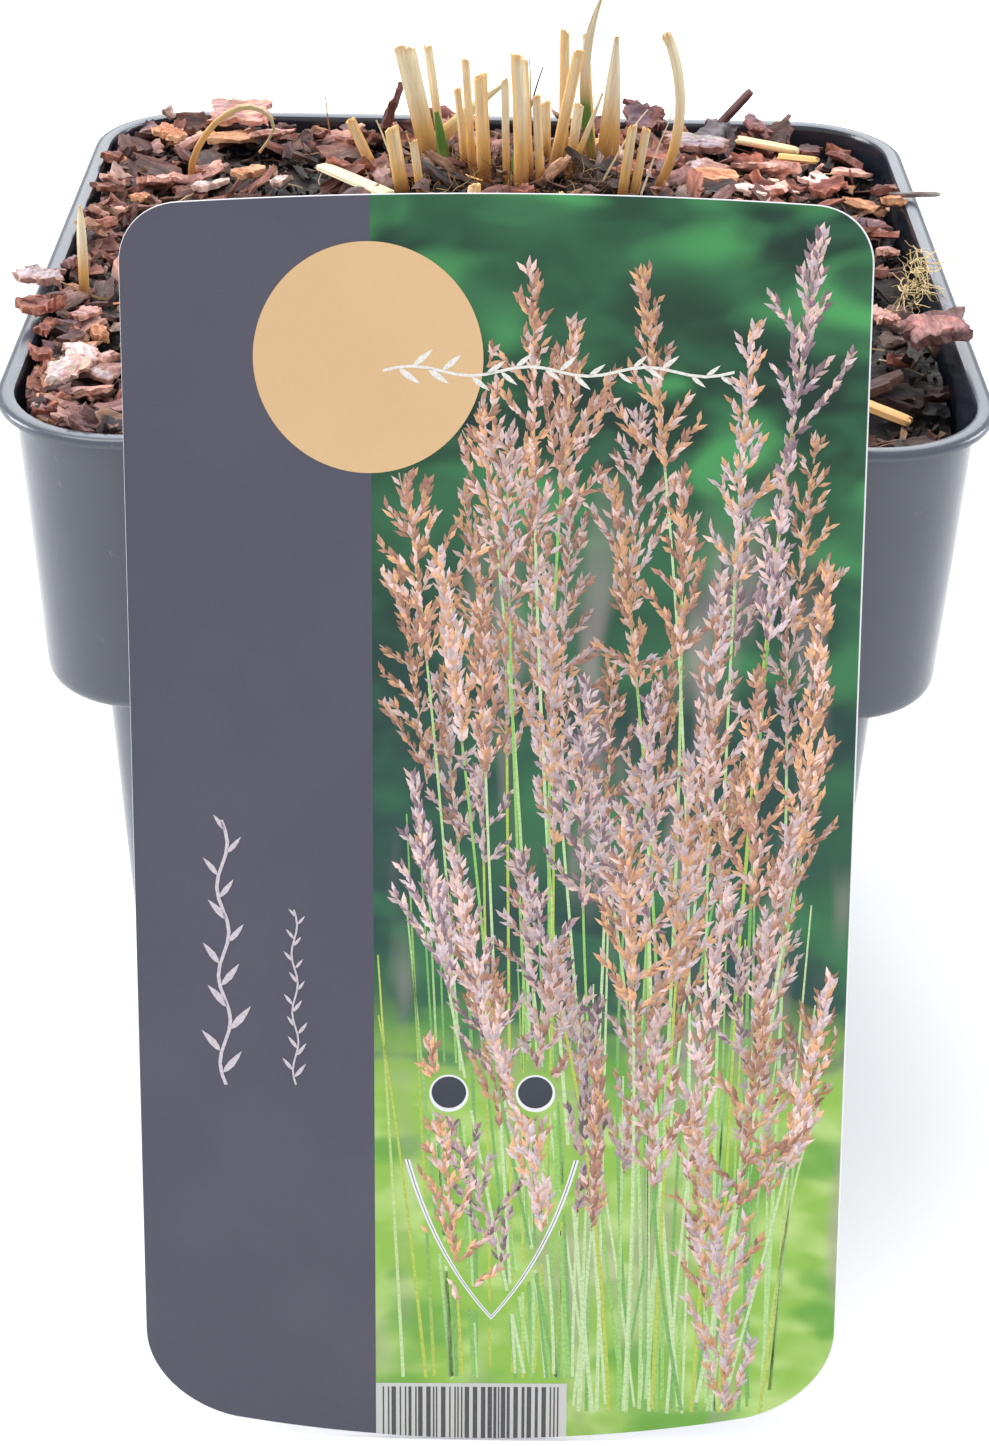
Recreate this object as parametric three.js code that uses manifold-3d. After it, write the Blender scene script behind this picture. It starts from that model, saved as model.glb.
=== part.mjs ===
// Purple moor grass cut back for the winter, in a square two-tier nursery pot filled with
// compost and bark mulch, with a card label that stands on the ground and leans on the rim.
// Millimetres. +Z is up, +X is right and -Y is the front, where the label stands.
// The origin is on the ground under the middle of the pot's base.

import * as THREE from 'three';
import { mergeVertices } from 'three/addons/utils/BufferGeometryUtils.js';
import Module from 'manifold-3d';

const wasm = await Module();
wasm.setup();

// Clearance between pieces that touch
const gap = 0.3;

// Pot: a thin moulded shell with a turned-out lip and a rounded step between its two tiers
const potHeight = 128;
const wall = 1.0;
const lip = { half: 65, corner: 17, drop: 1.3, round: 0.4, mouth: 0.8 };
const upperTier = {
  halfTop: 62.8, halfBottom: 61, corner: 15.4, cornerBottom: 12.8, depth: 42.5, round: 3, inset: 1.6,
};
const lowerTier = { halfTop: 53.9, halfBottom: 50.4, corner: 10, cornerBottom: 8 };
const potFloor = { thick: 2.4, edgeRound: 1.5, fillet: 1 };
const drain = { channelDepth: 1.2, channelWidth: 9, channelAt: 22, holeRadius: 4, holeSides: 10 };
const cornerSteps = 4;

// Height of the step between the two tiers
const stepZ = potHeight - upperTier.depth;

// Filling: compost, the hidden crown of the grass, and the mulch that covers both
const mulchBottom = potHeight - 12;
const mulchLevel = potHeight - 4.5;
const mounds = [
  { x: 3, y: 20, height: 8, spread: 26 },
  { x: -42, y: 47, height: 2, spread: 9 },
  { x: -60, y: 22, height: 2.5, spread: 13 },
  { x: -59, y: -14, height: 3.5, spread: 11 },
  { x: -60, y: -44, height: 2.5, spread: 11 },
  { x: 60, y: -28, height: 2.5, spread: 8 },
  { x: 57, y: -50, height: -3.5, spread: 14 },
];
const fillHeadroom = 30;
const crownAt = {
  x: 3, y: 20, radius: 26, bottom: potHeight - 34, shoulder: potHeight - 13, top: potHeight - 4,
  sides: 16,
};

// Mulch: fines, with one flake of bark in each cell of a grid. The ranges are those of the seeded
// draw that shifts, sizes, turns and tilts the flake.
const finesDepth = 2;
const finesCells = 9;
const chips = {
  seed: 2024, rows: 12, pitch: 10.2, shift: [-0.4, 0.4],
  length: [9, 15.5], width: [6, 9.5], thick: [1.8, 3.4],
  turn: [0, 360], tiltX: [-28, 28], tiltY: [-22, 22], lift: [-0.63, 0.27],
};
const chipForm = {
  corners: 4, bend: [-0.5, 0.5], swing: [-0.25, 0.25], reach: [1.05, 1.4], topShare: 0.84,
};
const mulchTolerance = 0.2;
const cutTolerance = 0.02;

// Straw: how flat, tapered and hollow-topped a stem is, and how thin a dry leaf is
const stem = { flat: 0.8, taper: 0.1, thinnest: 1.5, pitEdge: 0.42, pitFloor: 0.5, pitDepth: 1.2 };
const leafThick = 0.62;
const leafCup = 0.3;
const rootLength = 12;
const hole = { above: 6, sides: 6, spread: 1.16 };
const restingGap = 0.15;

// Label: a card with a slightly crowned top and bottom, two hanging holes and a V-shaped slit
const card = {
  halfWidth: 46.35, thick: 0.7,
  top: 31.2, topSide: 30.0, topCorner: 7.4, topPull: 4.2, topRise: 0.2,
  bottom: -134.8, bottomSide: -131.9, bottomCorner: 13, bottomPull: 6, bottomDrop: 7, bottomRise: 0.8,
  holeAt: [5.7, -85.1], holeRadius: 2.3,
  slitTop: [11.2, -94.4], slitMiddle: [7.6, -108.2], slitTip: -117, slitWidth: 0.45,
  leanDegrees: 18.16, rollDegrees: 0.67, frontAtRim: -66.07,
};

const radians = THREE.MathUtils.degToRad;

// Seeded draws: the same numbers in the same order every time, so that each chip keeps its place
function draws(seed) {
  const multiplier = 1664525;
  const increment = 1013904223;
  const states = 2 ** 32;
  let state = seed;
  return ([low, high]) => {
    state = (Math.imul(state, multiplier) + increment) >>> 0;
    return low + (high - low) * state / states;
  };
}

// Closed surface through rings of equally many points. Each end is a fan, from the ring's middle
// or, on a small convex end, from its first corner.
function loft(rings, fromMiddle = true) {
  const count = rings[0].length;
  const positions = [];
  const index = [];
  for (const ring of rings) {
    for (const point of ring) positions.push(point.x, point.y, point.z);
  }
  for (let i = 0; i + 1 < rings.length; i++) {
    for (let k = 0; k < count; k++) {
      const a = i * count + k;
      const b = i * count + ((k + 1) % count);
      index.push(a, b, b + count, a, b + count, a + count);
    }
  }
  const end = (rings.length - 1) * count;
  if (!fromMiddle) {
    for (let k = 1; k + 1 < count; k++) index.push(0, k + 1, k, end, end + k, end + k + 1);
    return indexed(positions, index);
  }
  const sumOf = (ring) => ring.reduce((sum, point) => sum.add(point), new THREE.Vector3());
  const middleOf = (ring) => sumOf(ring).divideScalar(count);
  const first = middleOf(rings[0]);
  const last = middleOf(rings[rings.length - 1]);
  const start = rings.length * count;
  positions.push(first.x, first.y, first.z, last.x, last.y, last.z);
  for (let k = 0; k < count; k++) {
    const next = (k + 1) % count;
    index.push(start, next, k);
    index.push(start + 1, end + k, end + next);
  }
  return indexed(positions, index);
}

function indexed(positions, index) {
  const geometry = new THREE.BufferGeometry();
  geometry.setAttribute('position', new THREE.Float32BufferAttribute(positions, 3));
  geometry.setIndex(index);
  return geometry;
}

// A solid for joining and cutting, and the way back to a geometry
function solid(geometry) {
  const bare = geometry.clone();
  bare.deleteAttribute('normal');
  bare.deleteAttribute('uv');
  const tolerance = 1e-4;
  const merged = mergeVertices(bare, tolerance);
  return new wasm.Manifold(new wasm.Mesh({
    numProp: 3,
    vertProperties: new Float32Array(merged.attributes.position.array),
    triVerts: new Uint32Array(merged.index.array),
  }));
}

function geometryOf(body) {
  const mesh = body.getMesh();
  const geometry = new THREE.BufferGeometry();
  geometry.setAttribute('position', new THREE.Float32BufferAttribute(mesh.vertProperties, 3));
  geometry.setIndex(new THREE.BufferAttribute(mesh.triVerts, 1));
  geometry.computeVertexNormals();
  return geometry;
}

// Small scraps that a cut leaves loose are dropped
function largest(body) {
  const parts = body.decompose();
  parts.sort((a, b) => b.volume() - a.volume());
  return parts[0];
}

function moved(geometry, x, y, z) {
  return geometry.translate(x, y, z);
}

// Ring of a square with rounded corners
function squareRing(half, corner, z) {
  const ring = [];
  for (let quarter = 0; quarter < 4; quarter++) {
    const signX = quarter === 0 || quarter === 3 ? 1 : -1;
    const signY = quarter < 2 ? 1 : -1;
    for (let k = 0; k <= cornerSteps; k++) {
      const angle = (quarter + k / cornerSteps) * Math.PI / 2;
      const x = signX * (half - corner) + corner * Math.cos(angle);
      const y = signY * (half - corner) + corner * Math.sin(angle);
      ring.push(new THREE.Vector3(x, y, z));
    }
  }
  return ring;
}

function makePot() {
  const rings = [];
  const ring = (half, corner, z) => rings.push(squareRing(half, corner, z));
  const edge = potFloor.edgeRound;
  const bevel = 0.3 * edge;
  ring(lowerTier.halfBottom - edge, lowerTier.cornerBottom - edge + bevel, 0);
  ring(lowerTier.halfBottom - bevel, lowerTier.cornerBottom - bevel, bevel);
  ring(lowerTier.halfBottom, lowerTier.cornerBottom, edge);
  ring(lowerTier.halfTop, lowerTier.corner, stepZ);
  const round = upperTier.round;
  for (const degrees of [0, 30, 60, 90]) {
    const back = round * (1 - Math.sin(radians(degrees)));
    const up = round * (1 - Math.cos(radians(degrees)));
    ring(upperTier.halfBottom - back, upperTier.cornerBottom - back / 2, stepZ + up);
  }
  ring(upperTier.halfTop, upperTier.corner, potHeight - lip.drop);
  ring(lip.half, lip.corner, potHeight - lip.drop);
  ring(lip.half, lip.corner, potHeight - lip.round);
  ring(lip.half - lip.round, lip.corner - lip.round, potHeight);
  ring(upperTier.halfTop - wall / 2, upperTier.corner - wall / 2, potHeight);
  ring(upperTier.halfTop - wall, upperTier.corner - wall, potHeight - lip.mouth);
  ring(upperTier.halfBottom - wall, upperTier.cornerBottom - wall, stepZ + round);
  const inset = wall + upperTier.inset;
  ring(upperTier.halfBottom - inset, upperTier.cornerBottom - inset, stepZ + wall);
  ring(lowerTier.halfTop - wall, lowerTier.corner - wall, stepZ + wall);
  const fillet = potFloor.fillet;
  ring(lowerTier.halfBottom - wall, lowerTier.cornerBottom - wall, potFloor.thick + fillet);
  ring(lowerTier.halfBottom - wall - fillet, lowerTier.cornerBottom - wall - fillet, potFloor.thick);
  let pot = solid(loft(rings));

  // Shallow channels under the base lead the water out, with a hole where two of them meet
  const reach = 2 * lowerTier.halfTop;
  const { channelDepth, channelWidth, channelAt, holeRadius, holeSides } = drain;
  for (const side of [-channelAt, channelAt]) {
    const along = new THREE.BoxGeometry(channelWidth, reach, 2 * channelDepth);
    const across = new THREE.BoxGeometry(reach, channelWidth, 2 * channelDepth);
    pot = pot.subtract(solid(moved(along, side, 0, 0)));
    pot = pot.subtract(solid(moved(across, 0, side, 0)));
  }
  for (const x of [-channelAt, 0, channelAt]) {
    for (const y of [-channelAt, 0, channelAt]) {
      if (x === 0 && y === 0) continue;
      const bit = new THREE.CylinderGeometry(holeRadius, holeRadius, 4 * potFloor.thick, holeSides);
      pot = pot.subtract(solid(moved(bit.rotateX(Math.PI / 2), x, y, 0)));
    }
  }
  return pot;
}

// The room inside the pot, a little clear of its wall, from the floor to well above the rim
function makeRoom() {
  const inset = wall + gap;
  const rings = [];
  const ring = (half, corner, z) => rings.push(squareRing(half - inset, corner - inset, z));
  const { fillet, thick } = potFloor;
  ring(lowerTier.halfBottom - fillet, lowerTier.cornerBottom - fillet, thick + gap);
  ring(lowerTier.halfBottom, lowerTier.cornerBottom, thick + fillet + gap);
  ring(lowerTier.halfTop, lowerTier.corner, stepZ + inset);
  ring(upperTier.halfBottom - upperTier.inset, upperTier.cornerBottom - upperTier.inset, stepZ + inset);
  ring(upperTier.halfBottom, upperTier.cornerBottom, stepZ + upperTier.round);
  ring(upperTier.halfTop, upperTier.corner, potHeight - lip.mouth);
  ring(upperTier.halfTop, upperTier.corner, potHeight + fillHeadroom);
  return solid(loft(rings));
}

// A block that reaches past the pot on every side, between two heights
function layer(bottom, top) {
  const block = new THREE.BoxGeometry(3 * lip.half, 3 * lip.half, top - bottom);
  return solid(moved(block, 0, 0, (bottom + top) / 2));
}

// Height of the mulch: level, with a mound round the grass and some heaps and one dip
function surface(x, y) {
  let z = mulchLevel;
  for (const mound of mounds) {
    const distance = Math.hypot(x - mound.x, y - mound.y) / mound.spread;
    z += mound.height * Math.exp(-distance * distance / 2);
  }
  return z;
}

// Slow unevenness of the fines between the chips
function unevenness(x, y) {
  return 0.7 * Math.sin(x / 5.3 + 1.1 * Math.sin(y / 7.1)) * Math.cos(y / 4.7 + 0.9 * Math.sin(x / 6.3));
}

// The crown: a rounded three-lobed lump, with spare added all round where it is used as a cutter
function makeCrown(spare) {
  const { x, y, radius, bottom, shoulder, top, sides } = crownAt;
  const ring = (share, z) => Array.from({ length: sides }, (_, k) => {
    const angle = 2 * Math.PI * k / sides;
    const reach = share * radius * (1 + 0.06 * Math.sin(3 * angle + 0.7)) + spare;
    return new THREE.Vector3(x + reach * Math.cos(angle), y + reach * Math.sin(angle), z);
  });
  return solid(loft([
    ring(0.45, bottom - spare),
    ring(0.8, (bottom + shoulder) / 2 - spare),
    ring(1, shoulder),
    ring(0.8, (shoulder + top) / 2 + spare),
    ring(0.4, top + spare),
  ]));
}

// A flake of bark: a flat four-cornered slab, a little bent, narrower on top
function flake(length, width, thick, draw) {
  const { corners, swing, reach, topShare } = chipForm;
  const bend = thick * draw(chipForm.bend);
  const outline = Array.from({ length: corners }, (_, k) => {
    const angle = 2 * Math.PI * (k + 0.5 + draw(swing)) / corners;
    const away = draw(reach) / 2;
    return [length * away * Math.cos(angle), width * away * Math.sin(angle)];
  });
  const ring = (share, z) => outline.map(([x, y]) => {
    const along = 2 * x / length;
    return new THREE.Vector3(share * x, share * y, z + bend * along * along);
  });
  return loft([ring(1, -thick / 2), ring(topShare, thick / 2)], false);
}

// Tilted about its length and its width, then turned; all in degrees
function laid(geometry, turn, tiltX, tiltY) {
  const angles = new THREE.Euler(radians(tiltX), radians(tiltY), radians(turn), 'ZYX');
  return geometry.applyMatrix4(new THREE.Matrix4().makeRotationFromEuler(angles));
}

// The mulch bed: fines with flakes sunk in them, on a jittered grid over the whole opening
function makeMulch(room) {
  const size = 2 * upperTier.halfTop;
  const bedGeometry = new THREE.BoxGeometry(size, size, 1, finesCells, finesCells, 1);
  const place = bedGeometry.attributes.position;
  for (let i = 0; i < place.count; i++) {
    const x = place.getX(i);
    const y = place.getY(i);
    const top = surface(x, y) - finesDepth + unevenness(x, y);
    place.setZ(i, place.getZ(i) > 0 ? top : mulchBottom);
  }
  let mulch = solid(bedGeometry);
  const draw = draws(chips.seed);
  const middle = (chips.rows - 1) / 2;
  for (let row = 0; row < chips.rows; row++) {
    for (let column = 0; column < chips.rows; column++) {
      const x = (column - middle + draw(chips.shift)) * chips.pitch;
      const y = (row - middle + draw(chips.shift)) * chips.pitch;
      const length = draw(chips.length);
      const width = draw(chips.width);
      const thick = draw(chips.thick);
      const turn = draw(chips.turn);
      const tiltX = draw(chips.tiltX);
      const tiltY = draw(chips.tiltY);
      const z = surface(x, y) + draw(chips.lift);
      const chip = flake(length, width, thick, draw);
      mulch = mulch.add(solid(moved(laid(chip, turn, tiltX, tiltY), x, y, z)));
    }
  }
  mulch = largest(mulch.intersect(room));
  return largest(mulch.simplify(mulchTolerance));
}

// Rings carried along a path; facing is the direction of a section's second coordinate
function sweep(path, facing, sectionAt) {
  return path.map((point, i) => {
    const before = path[Math.max(0, i - 1)];
    const after = path[Math.min(path.length - 1, i + 1)];
    const along = new THREE.Vector3().subVectors(after, before).normalize();
    const side = new THREE.Vector3().crossVectors(facing, along).normalize();
    const front = new THREE.Vector3().crossVectors(along, side);
    return sectionAt(i).map(([a, b]) => point.clone().addScaledVector(side, a).addScaledVector(front, b));
  });
}

// Plain hole for a stem or blade, from under its root end to a little above the mulch. It is spread
// so that the flats of its few sides stay clear of the piece.
function makeHole(piece) {
  const path = middleLine(piece, [hole.above / piece.length], gap);
  const route = piece.bow ? path : [path[0], path[2]];
  const width = hole.spread * ((1 + stem.taper) * piece.width + 2 * gap);
  const deep = hole.spread * (leafThick + 2 * (piece.cup ?? 0) + 2.6 * gap);
  const depth = piece.cup === undefined ? width : deep;
  return solid(loft(sweep(route, facingOf(piece), () => oval(width, depth, hole.sides)), false));
}

function oval(width, depth, sides) {
  return Array.from({ length: sides }, (_, k) => {
    const angle = 2 * Math.PI * k / sides;
    return [0.5 * width * Math.cos(angle), 0.5 * depth * Math.sin(angle)];
  });
}

// Section of a dry leaf: a thin strip, cupped across its width
function strip(width, thick, cup) {
  const steps = 4;
  const across = Array.from({ length: steps + 1 }, (_, k) => -1 + 2 * k / steps);
  const under = across.map((s) => [0.5 * width * s, cup * s * s - 0.5 * thick]);
  const over = across.map((s) => [0.5 * width * s, cup * s * s + 0.5 * thick]).reverse();
  return [...under, ...over];
}

// Middle line of a stem or blade: a straight root end in the crown, then the part that shows
function middleLine(piece, shares, extra = 0) {
  const [x, y] = piece.at;
  const foot = new THREE.Vector3(x, y, surface(x, y));
  const lean = Math.tan(radians(piece.lean ?? 0));
  const back = Math.tan(radians(piece.back ?? 0));
  const along = new THREE.Vector3(lean, back, 1).normalize();
  const root = foot.clone().addScaledVector(along, -(piece.root ?? rootLength) - extra);
  const shown = shares.map((share) => {
    const bow = 4 * (piece.bow ?? 0) * share * (1 - share) + (piece.hook ?? 0) * share ** 4;
    return foot.clone().addScaledVector(along, piece.length * share).add(new THREE.Vector3(bow, 0, 0));
  });
  return [root, foot, ...shown];
}

function facingOf(piece) {
  const turn = radians(piece.turn ?? 0);
  return new THREE.Vector3(Math.sin(turn), Math.cos(turn), 0);
}

// A cut straw stem, with a slanted cut and a shallow pit where the pith has dried
function culm(piece, spare = 0) {
  const thick = piece.width > stem.thinnest;
  const sides = thick ? 8 : 6;
  const width = piece.width + 2 * spare;
  const path = middleLine(piece, piece.bow ? [0.35, 0.7, 1] : [1], spare);
  const rings = sweep(path, facingOf(piece), (i) => {
    const taper = 1 - stem.taper * i / path.length;
    return oval(width * taper, stem.flat * width * taper, sides);
  });
  const top = rings[rings.length - 1];
  const slope = piece.slope ?? 0.4;
  const end = path[path.length - 1];
  top.forEach((p) => { p.z += slope * (p.x - end.x); });
  if (thick && spare === 0) {
    const inward = (share) => top.map((p) => p.clone().lerp(end, share));
    const floor = inward(stem.pitFloor);
    floor.forEach((p) => { p.z -= stem.pitDepth; });
    rings.push(inward(stem.pitEdge), floor);
  }
  return solid(loft(rings));
}

// A dry leaf or sheath: a cupped strip, cut square or drawn out to a point
function blade(piece, spare = 0) {
  const shares = [0.3, 0.6, 0.85, 1];
  const path = middleLine(piece, shares, spare);
  const all = [0, 0, ...shares];
  const rings = sweep(path, facingOf(piece), (i) => {
    const narrow = piece.point ? 1 - 0.72 * all[i] ** 1.8 : 1 + 0.1 * all[i];
    const width = Math.max(piece.width * narrow, 0.8);
    const cup = piece.cup ?? leafCup;
    if (spare > 0) return oval(1.1 * width + 2 * spare, 1.5 * leafThick + 2 * cup + 2 * spare, 8);
    return strip(width, leafThick, cup * narrow);
  });
  return solid(loft(rings));
}

// A live shoot: rolled leaves that taper to a blunt point
function shoot(piece, spare = 0) {
  const shares = [0.4, 0.75, 1];
  const path = middleLine(piece, shares, spare);
  const all = [0, 0, ...shares];
  const rings = sweep(path, facingOf(piece), (i) => {
    const width = piece.width * (1 - 0.55 * all[i] ** 2) + 2 * spare;
    return oval(width, 0.75 * width, 6);
  });
  return solid(loft(rings));
}

// Everything that stands in the crown or the mulch. The names of like pieces count up from 1.
// at: place of the foot; length: part above the mulch; lean: degrees to the right;
// back: degrees away from the label; bow and hook: sideways curve at the middle and the tip.
const culms = [
  { at: [-5.4, 34.8], length: 12, width: 1.2, lean: -6, bow: 0.1 },
  { at: [-4.2, 32.9], length: 16.7, width: 1.3, lean: -4, slope: -0.3 },
  { at: [-2.3, 30], length: 14.8, width: 2.2, lean: -3, slope: 0.5 },
  { at: [3.4, 23], length: 19.4, width: 2.3, lean: -3, bow: 0.2, slope: -0.4 },
  { at: [4.7, 26.4], length: 17.8, width: 1.4, lean: -4 },
  { at: [6.4, 23.6], length: 13.2, width: 1.4, lean: -4, slope: 0.2 },
  { at: [7.4, 42], length: 8.7, width: 1.8, lean: -1, slope: 0.6 },
  { at: [10.2, 40.2], length: 20.4, width: 1.6, lean: -1, slope: -0.5 },
  { at: [8.8, 35], length: 18.3, width: 1.9, lean: 10, slope: 0.3 },
  { at: [15, 43.8], length: 20, width: 1.2, lean: -5, slope: 0.3 },
  { at: [19, 22.9], length: 10.4, width: 1.5, lean: 6 },
  { at: [20.8, 23.4], length: 10.2, width: 1.4, lean: 8, slope: -0.4 },
  { at: [-14.9, 24.2], length: 9.4, width: 2.2, lean: -9, slope: 0.4 },
  { at: [-12, 22.8], length: 7.3, width: 1.4, lean: -8 },
  { at: [-20, 38.5], length: 8.4, width: 1.8, lean: -24, slope: 0.2 },
  { at: [-4, 11], length: 4.2, width: 2.1, lean: 6, slope: 0.4 },
  { at: [9, 7.5], length: 4.8, width: 2.0, lean: 9, back: -8, slope: -0.3 },
  { at: [0.5, 3], length: 6.4, width: 2.2, lean: -5, back: -10, slope: 0.3 },
  { at: [12.5, 4], length: 7.2, width: 1.7, lean: 12, back: -12, slope: 0.5 },
  { at: [-9, 3], length: 7.4, width: 1.9, lean: -14, back: -9, slope: -0.4 },
  { at: [5, -2.5], length: 7.8, width: 1.6, lean: 3, back: -16 },
];
const blades = [
  { at: [-10.9, 41], length: 18.4, width: 3.1, lean: -13, cup: 0.5 },
  { at: [-9, 44.4], length: 17.6, width: 1.3, lean: -8, back: 2, cup: 0.15 },
  { at: [-12.2, 46.6], length: 17, width: 2.6, lean: 46, cup: 0.3, point: true, turn: 10 },
  { at: [1.2, 23.6], length: 15.7, width: 1.1, lean: -2, cup: 0.15 },
  { at: [11.4, 38], length: 9.4, width: 1.5, lean: 6, cup: 0.25 },
  { at: [17.3, 41], length: 20.2, width: 3.4, lean: 2, cup: 0.45, point: true },
  { at: [24.9, 28.5], length: 24.2, width: 1.5, lean: 0, cup: 0.25, bow: 2.6, root: 11 },
  { at: [14.9, 40.6], length: 26, width: 1.5, lean: -2, cup: 0.2, bow: -1.3, hook: 1.4, point: true },
  { at: [11.8, 34.6], length: 12.4, width: 1.1, lean: 19, cup: 0.12, point: true },
];
const looseStems = [
  { name: 'arching_dry_blade', at: [-48.7, 36], length: 16.8, width: 1.1, lean: 33, cup: 0.12, bow: -2.2,
    point: true, root: 5 },
  { name: 'straw_at_left_rim', at: [-58.2, -15.5], length: 13.2, width: 1.4, lean: 1, cup: 0.25, root: 5 },
];
const greenShoots = [
  { at: [-8.6, 38], length: 8.1, width: 1.7, lean: -9 },
  { at: [2.4, 26.2], length: 4.4, width: 1.3, lean: 2 },
];

function numbered(pieces, name, make, finish) {
  return pieces.map((piece, i) => ({ ...piece, name: `${name}_${i + 1}`, make, finish }));
}

const rows = [
  ...numbered(culms, 'culm', culm, 'straw'),
  ...numbered(greenShoots, 'green_shoot', shoot, 'green'),
  ...numbered(blades, 'leaf_sheath', blade, 'straw'),
  ...looseStems.map((piece) => ({ ...piece, make: blade, finish: 'straw' })),
];

// Pieces that only lie on the mulch or over the rim: size along, across and up, and how they lie
const looseFlakes = [
  { name: 'bark_flake_1', at: [-63.7, -14.2], size: [10, 7.4, 1.8], turn: 82, tilt: [4, 4], seed: 11 },
  { name: 'bark_flake_2', at: [-62.6, -25.8], size: [9, 5.5, 2.2], turn: 72, tilt: [-6, 10], seed: 12 },
  { name: 'bark_flake_3', at: [-57, -44.5], size: [8.5, 5, 1.8], turn: 40, tilt: [10, -8], seed: 13 },
  { name: 'bark_flake_4', at: [-42, 55.8], size: [12, 8.5, 2], turn: 8, tilt: [12, -2], seed: 14 },
  { name: 'bark_flake_5', at: [-52.5, 47], size: [8, 5, 2], turn: -30, tilt: [-8, 8], seed: 15 },
  { name: 'bark_flake_6', at: [59, -33.5], size: [12.5, 9, 3.2], turn: 95, tilt: [-17, -4], seed: 16 },
  { name: 'bark_flake_7', at: [54.5, -22], size: [6.5, 4.5, 1.8], turn: 30, tilt: [8, 14], seed: 17 },
  { name: 'bark_flake_8', at: [36.5, 54.5], size: [10, 8, 3.8], turn: -15, tilt: [18, 12], seed: 18 },
  { name: 'bark_flake_9', at: [45, 57.5], size: [9.5, 6.5, 2.6], turn: 35, tilt: [26, -16], seed: 19 },
  { name: 'bark_flake_10', at: [23.5, 57], size: [7, 6.5, 2.6], turn: 5, tilt: [34, 4], seed: 20 },
  { name: 'bark_flake_11', at: [31.5, 47], size: [12, 6.5, 2.2], turn: 10, tilt: [8, 6], seed: 21 },
];
const looseSlivers = [
  { name: 'wood_sliver_1', at: [43.4, 50], size: [10, 2.2, 1.4], turn: -18, tilt: [0, 4] },
  { name: 'wood_sliver_2', at: [48, 44.5], size: [6.5, 1.7, 1.3], turn: -24, tilt: [0, -3] },
  { name: 'cut_leaf', at: [-22.1, 24.1], size: [17.5, 3, 0.9], turn: 129, tilt: [0, 1.5] },
  { name: 'cut_straw', at: [52, -42.5], size: [7.5, 2, 1.6], turn: -38, tilt: [0, 4] },
  { name: 'twig', at: [64.2, 27.5], size: [8.5, 1.3, 1.2], turn: -6, tilt: [0, -4], finish: 'bark' },
  { name: 'bark_splinter', at: [38.3, 61], size: [9.5, 1.6, 1.5], turn: 0, tilt: [0, -50],
    finish: 'bark' },
];

// A few dry roots at the right rim
const rootKnot = {
  at: [60.3, -12], seed: 77, count: 6, wander: [0, 0.6], reach: [7, 12], rise: [1, 4.5],
  thick: 1.05, narrow: 0.7,
};

// Lowered onto what lies below until it all but touches
function settled(piece, below) {
  let clear = 40;
  let touching = -20;
  while (clear - touching > 0.005) {
    const middle = (clear + touching) / 2;
    const free = piece.translate([0, 0, middle]).intersect(below).isEmpty();
    if (free) clear = middle;
    else touching = middle;
  }
  return piece.translate([0, 0, clear + restingGap]);
}

// A split piece of straw or wood: a narrow six-sided bar with uneven ends
function sliver([length, width, thick]) {
  const stations = [[-0.5, 0.55], [-0.42, 1], [0.1, 1], [0.4, 0.85], [0.5, 0.4]];
  const path = stations.map(([share]) => new THREE.Vector3(share * length, 0, 0));
  const section = (i) => oval(width * stations[i][1], thick * stations[i][1], 6);
  return loft(sweep(path, new THREE.Vector3(0, 0, 1), section));
}

// Dry roots that cross in one knot
function makeRootTuft() {
  const { seed, count, wander, reach, rise, thick, narrow } = rootKnot;
  const draw = draws(seed);
  let tuft = null;
  for (let k = 0; k < count; k++) {
    const heading = 2 * Math.PI * (k + draw(wander)) / count;
    const far = draw(reach);
    const high = draw(rise);
    const path = [-0.25, 0.1, 0.55, 1].map((share) => new THREE.Vector3(
      narrow * far * share * Math.cos(heading),
      far * share * Math.sin(heading),
      high * share * (1.6 - share),
    ));
    const root = solid(loft(sweep(path, new THREE.Vector3(0, 0, 1), () => oval(thick, thick, 4))));
    tuft = tuft ? tuft.add(root) : root;
  }
  return largest(tuft);
}

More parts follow.
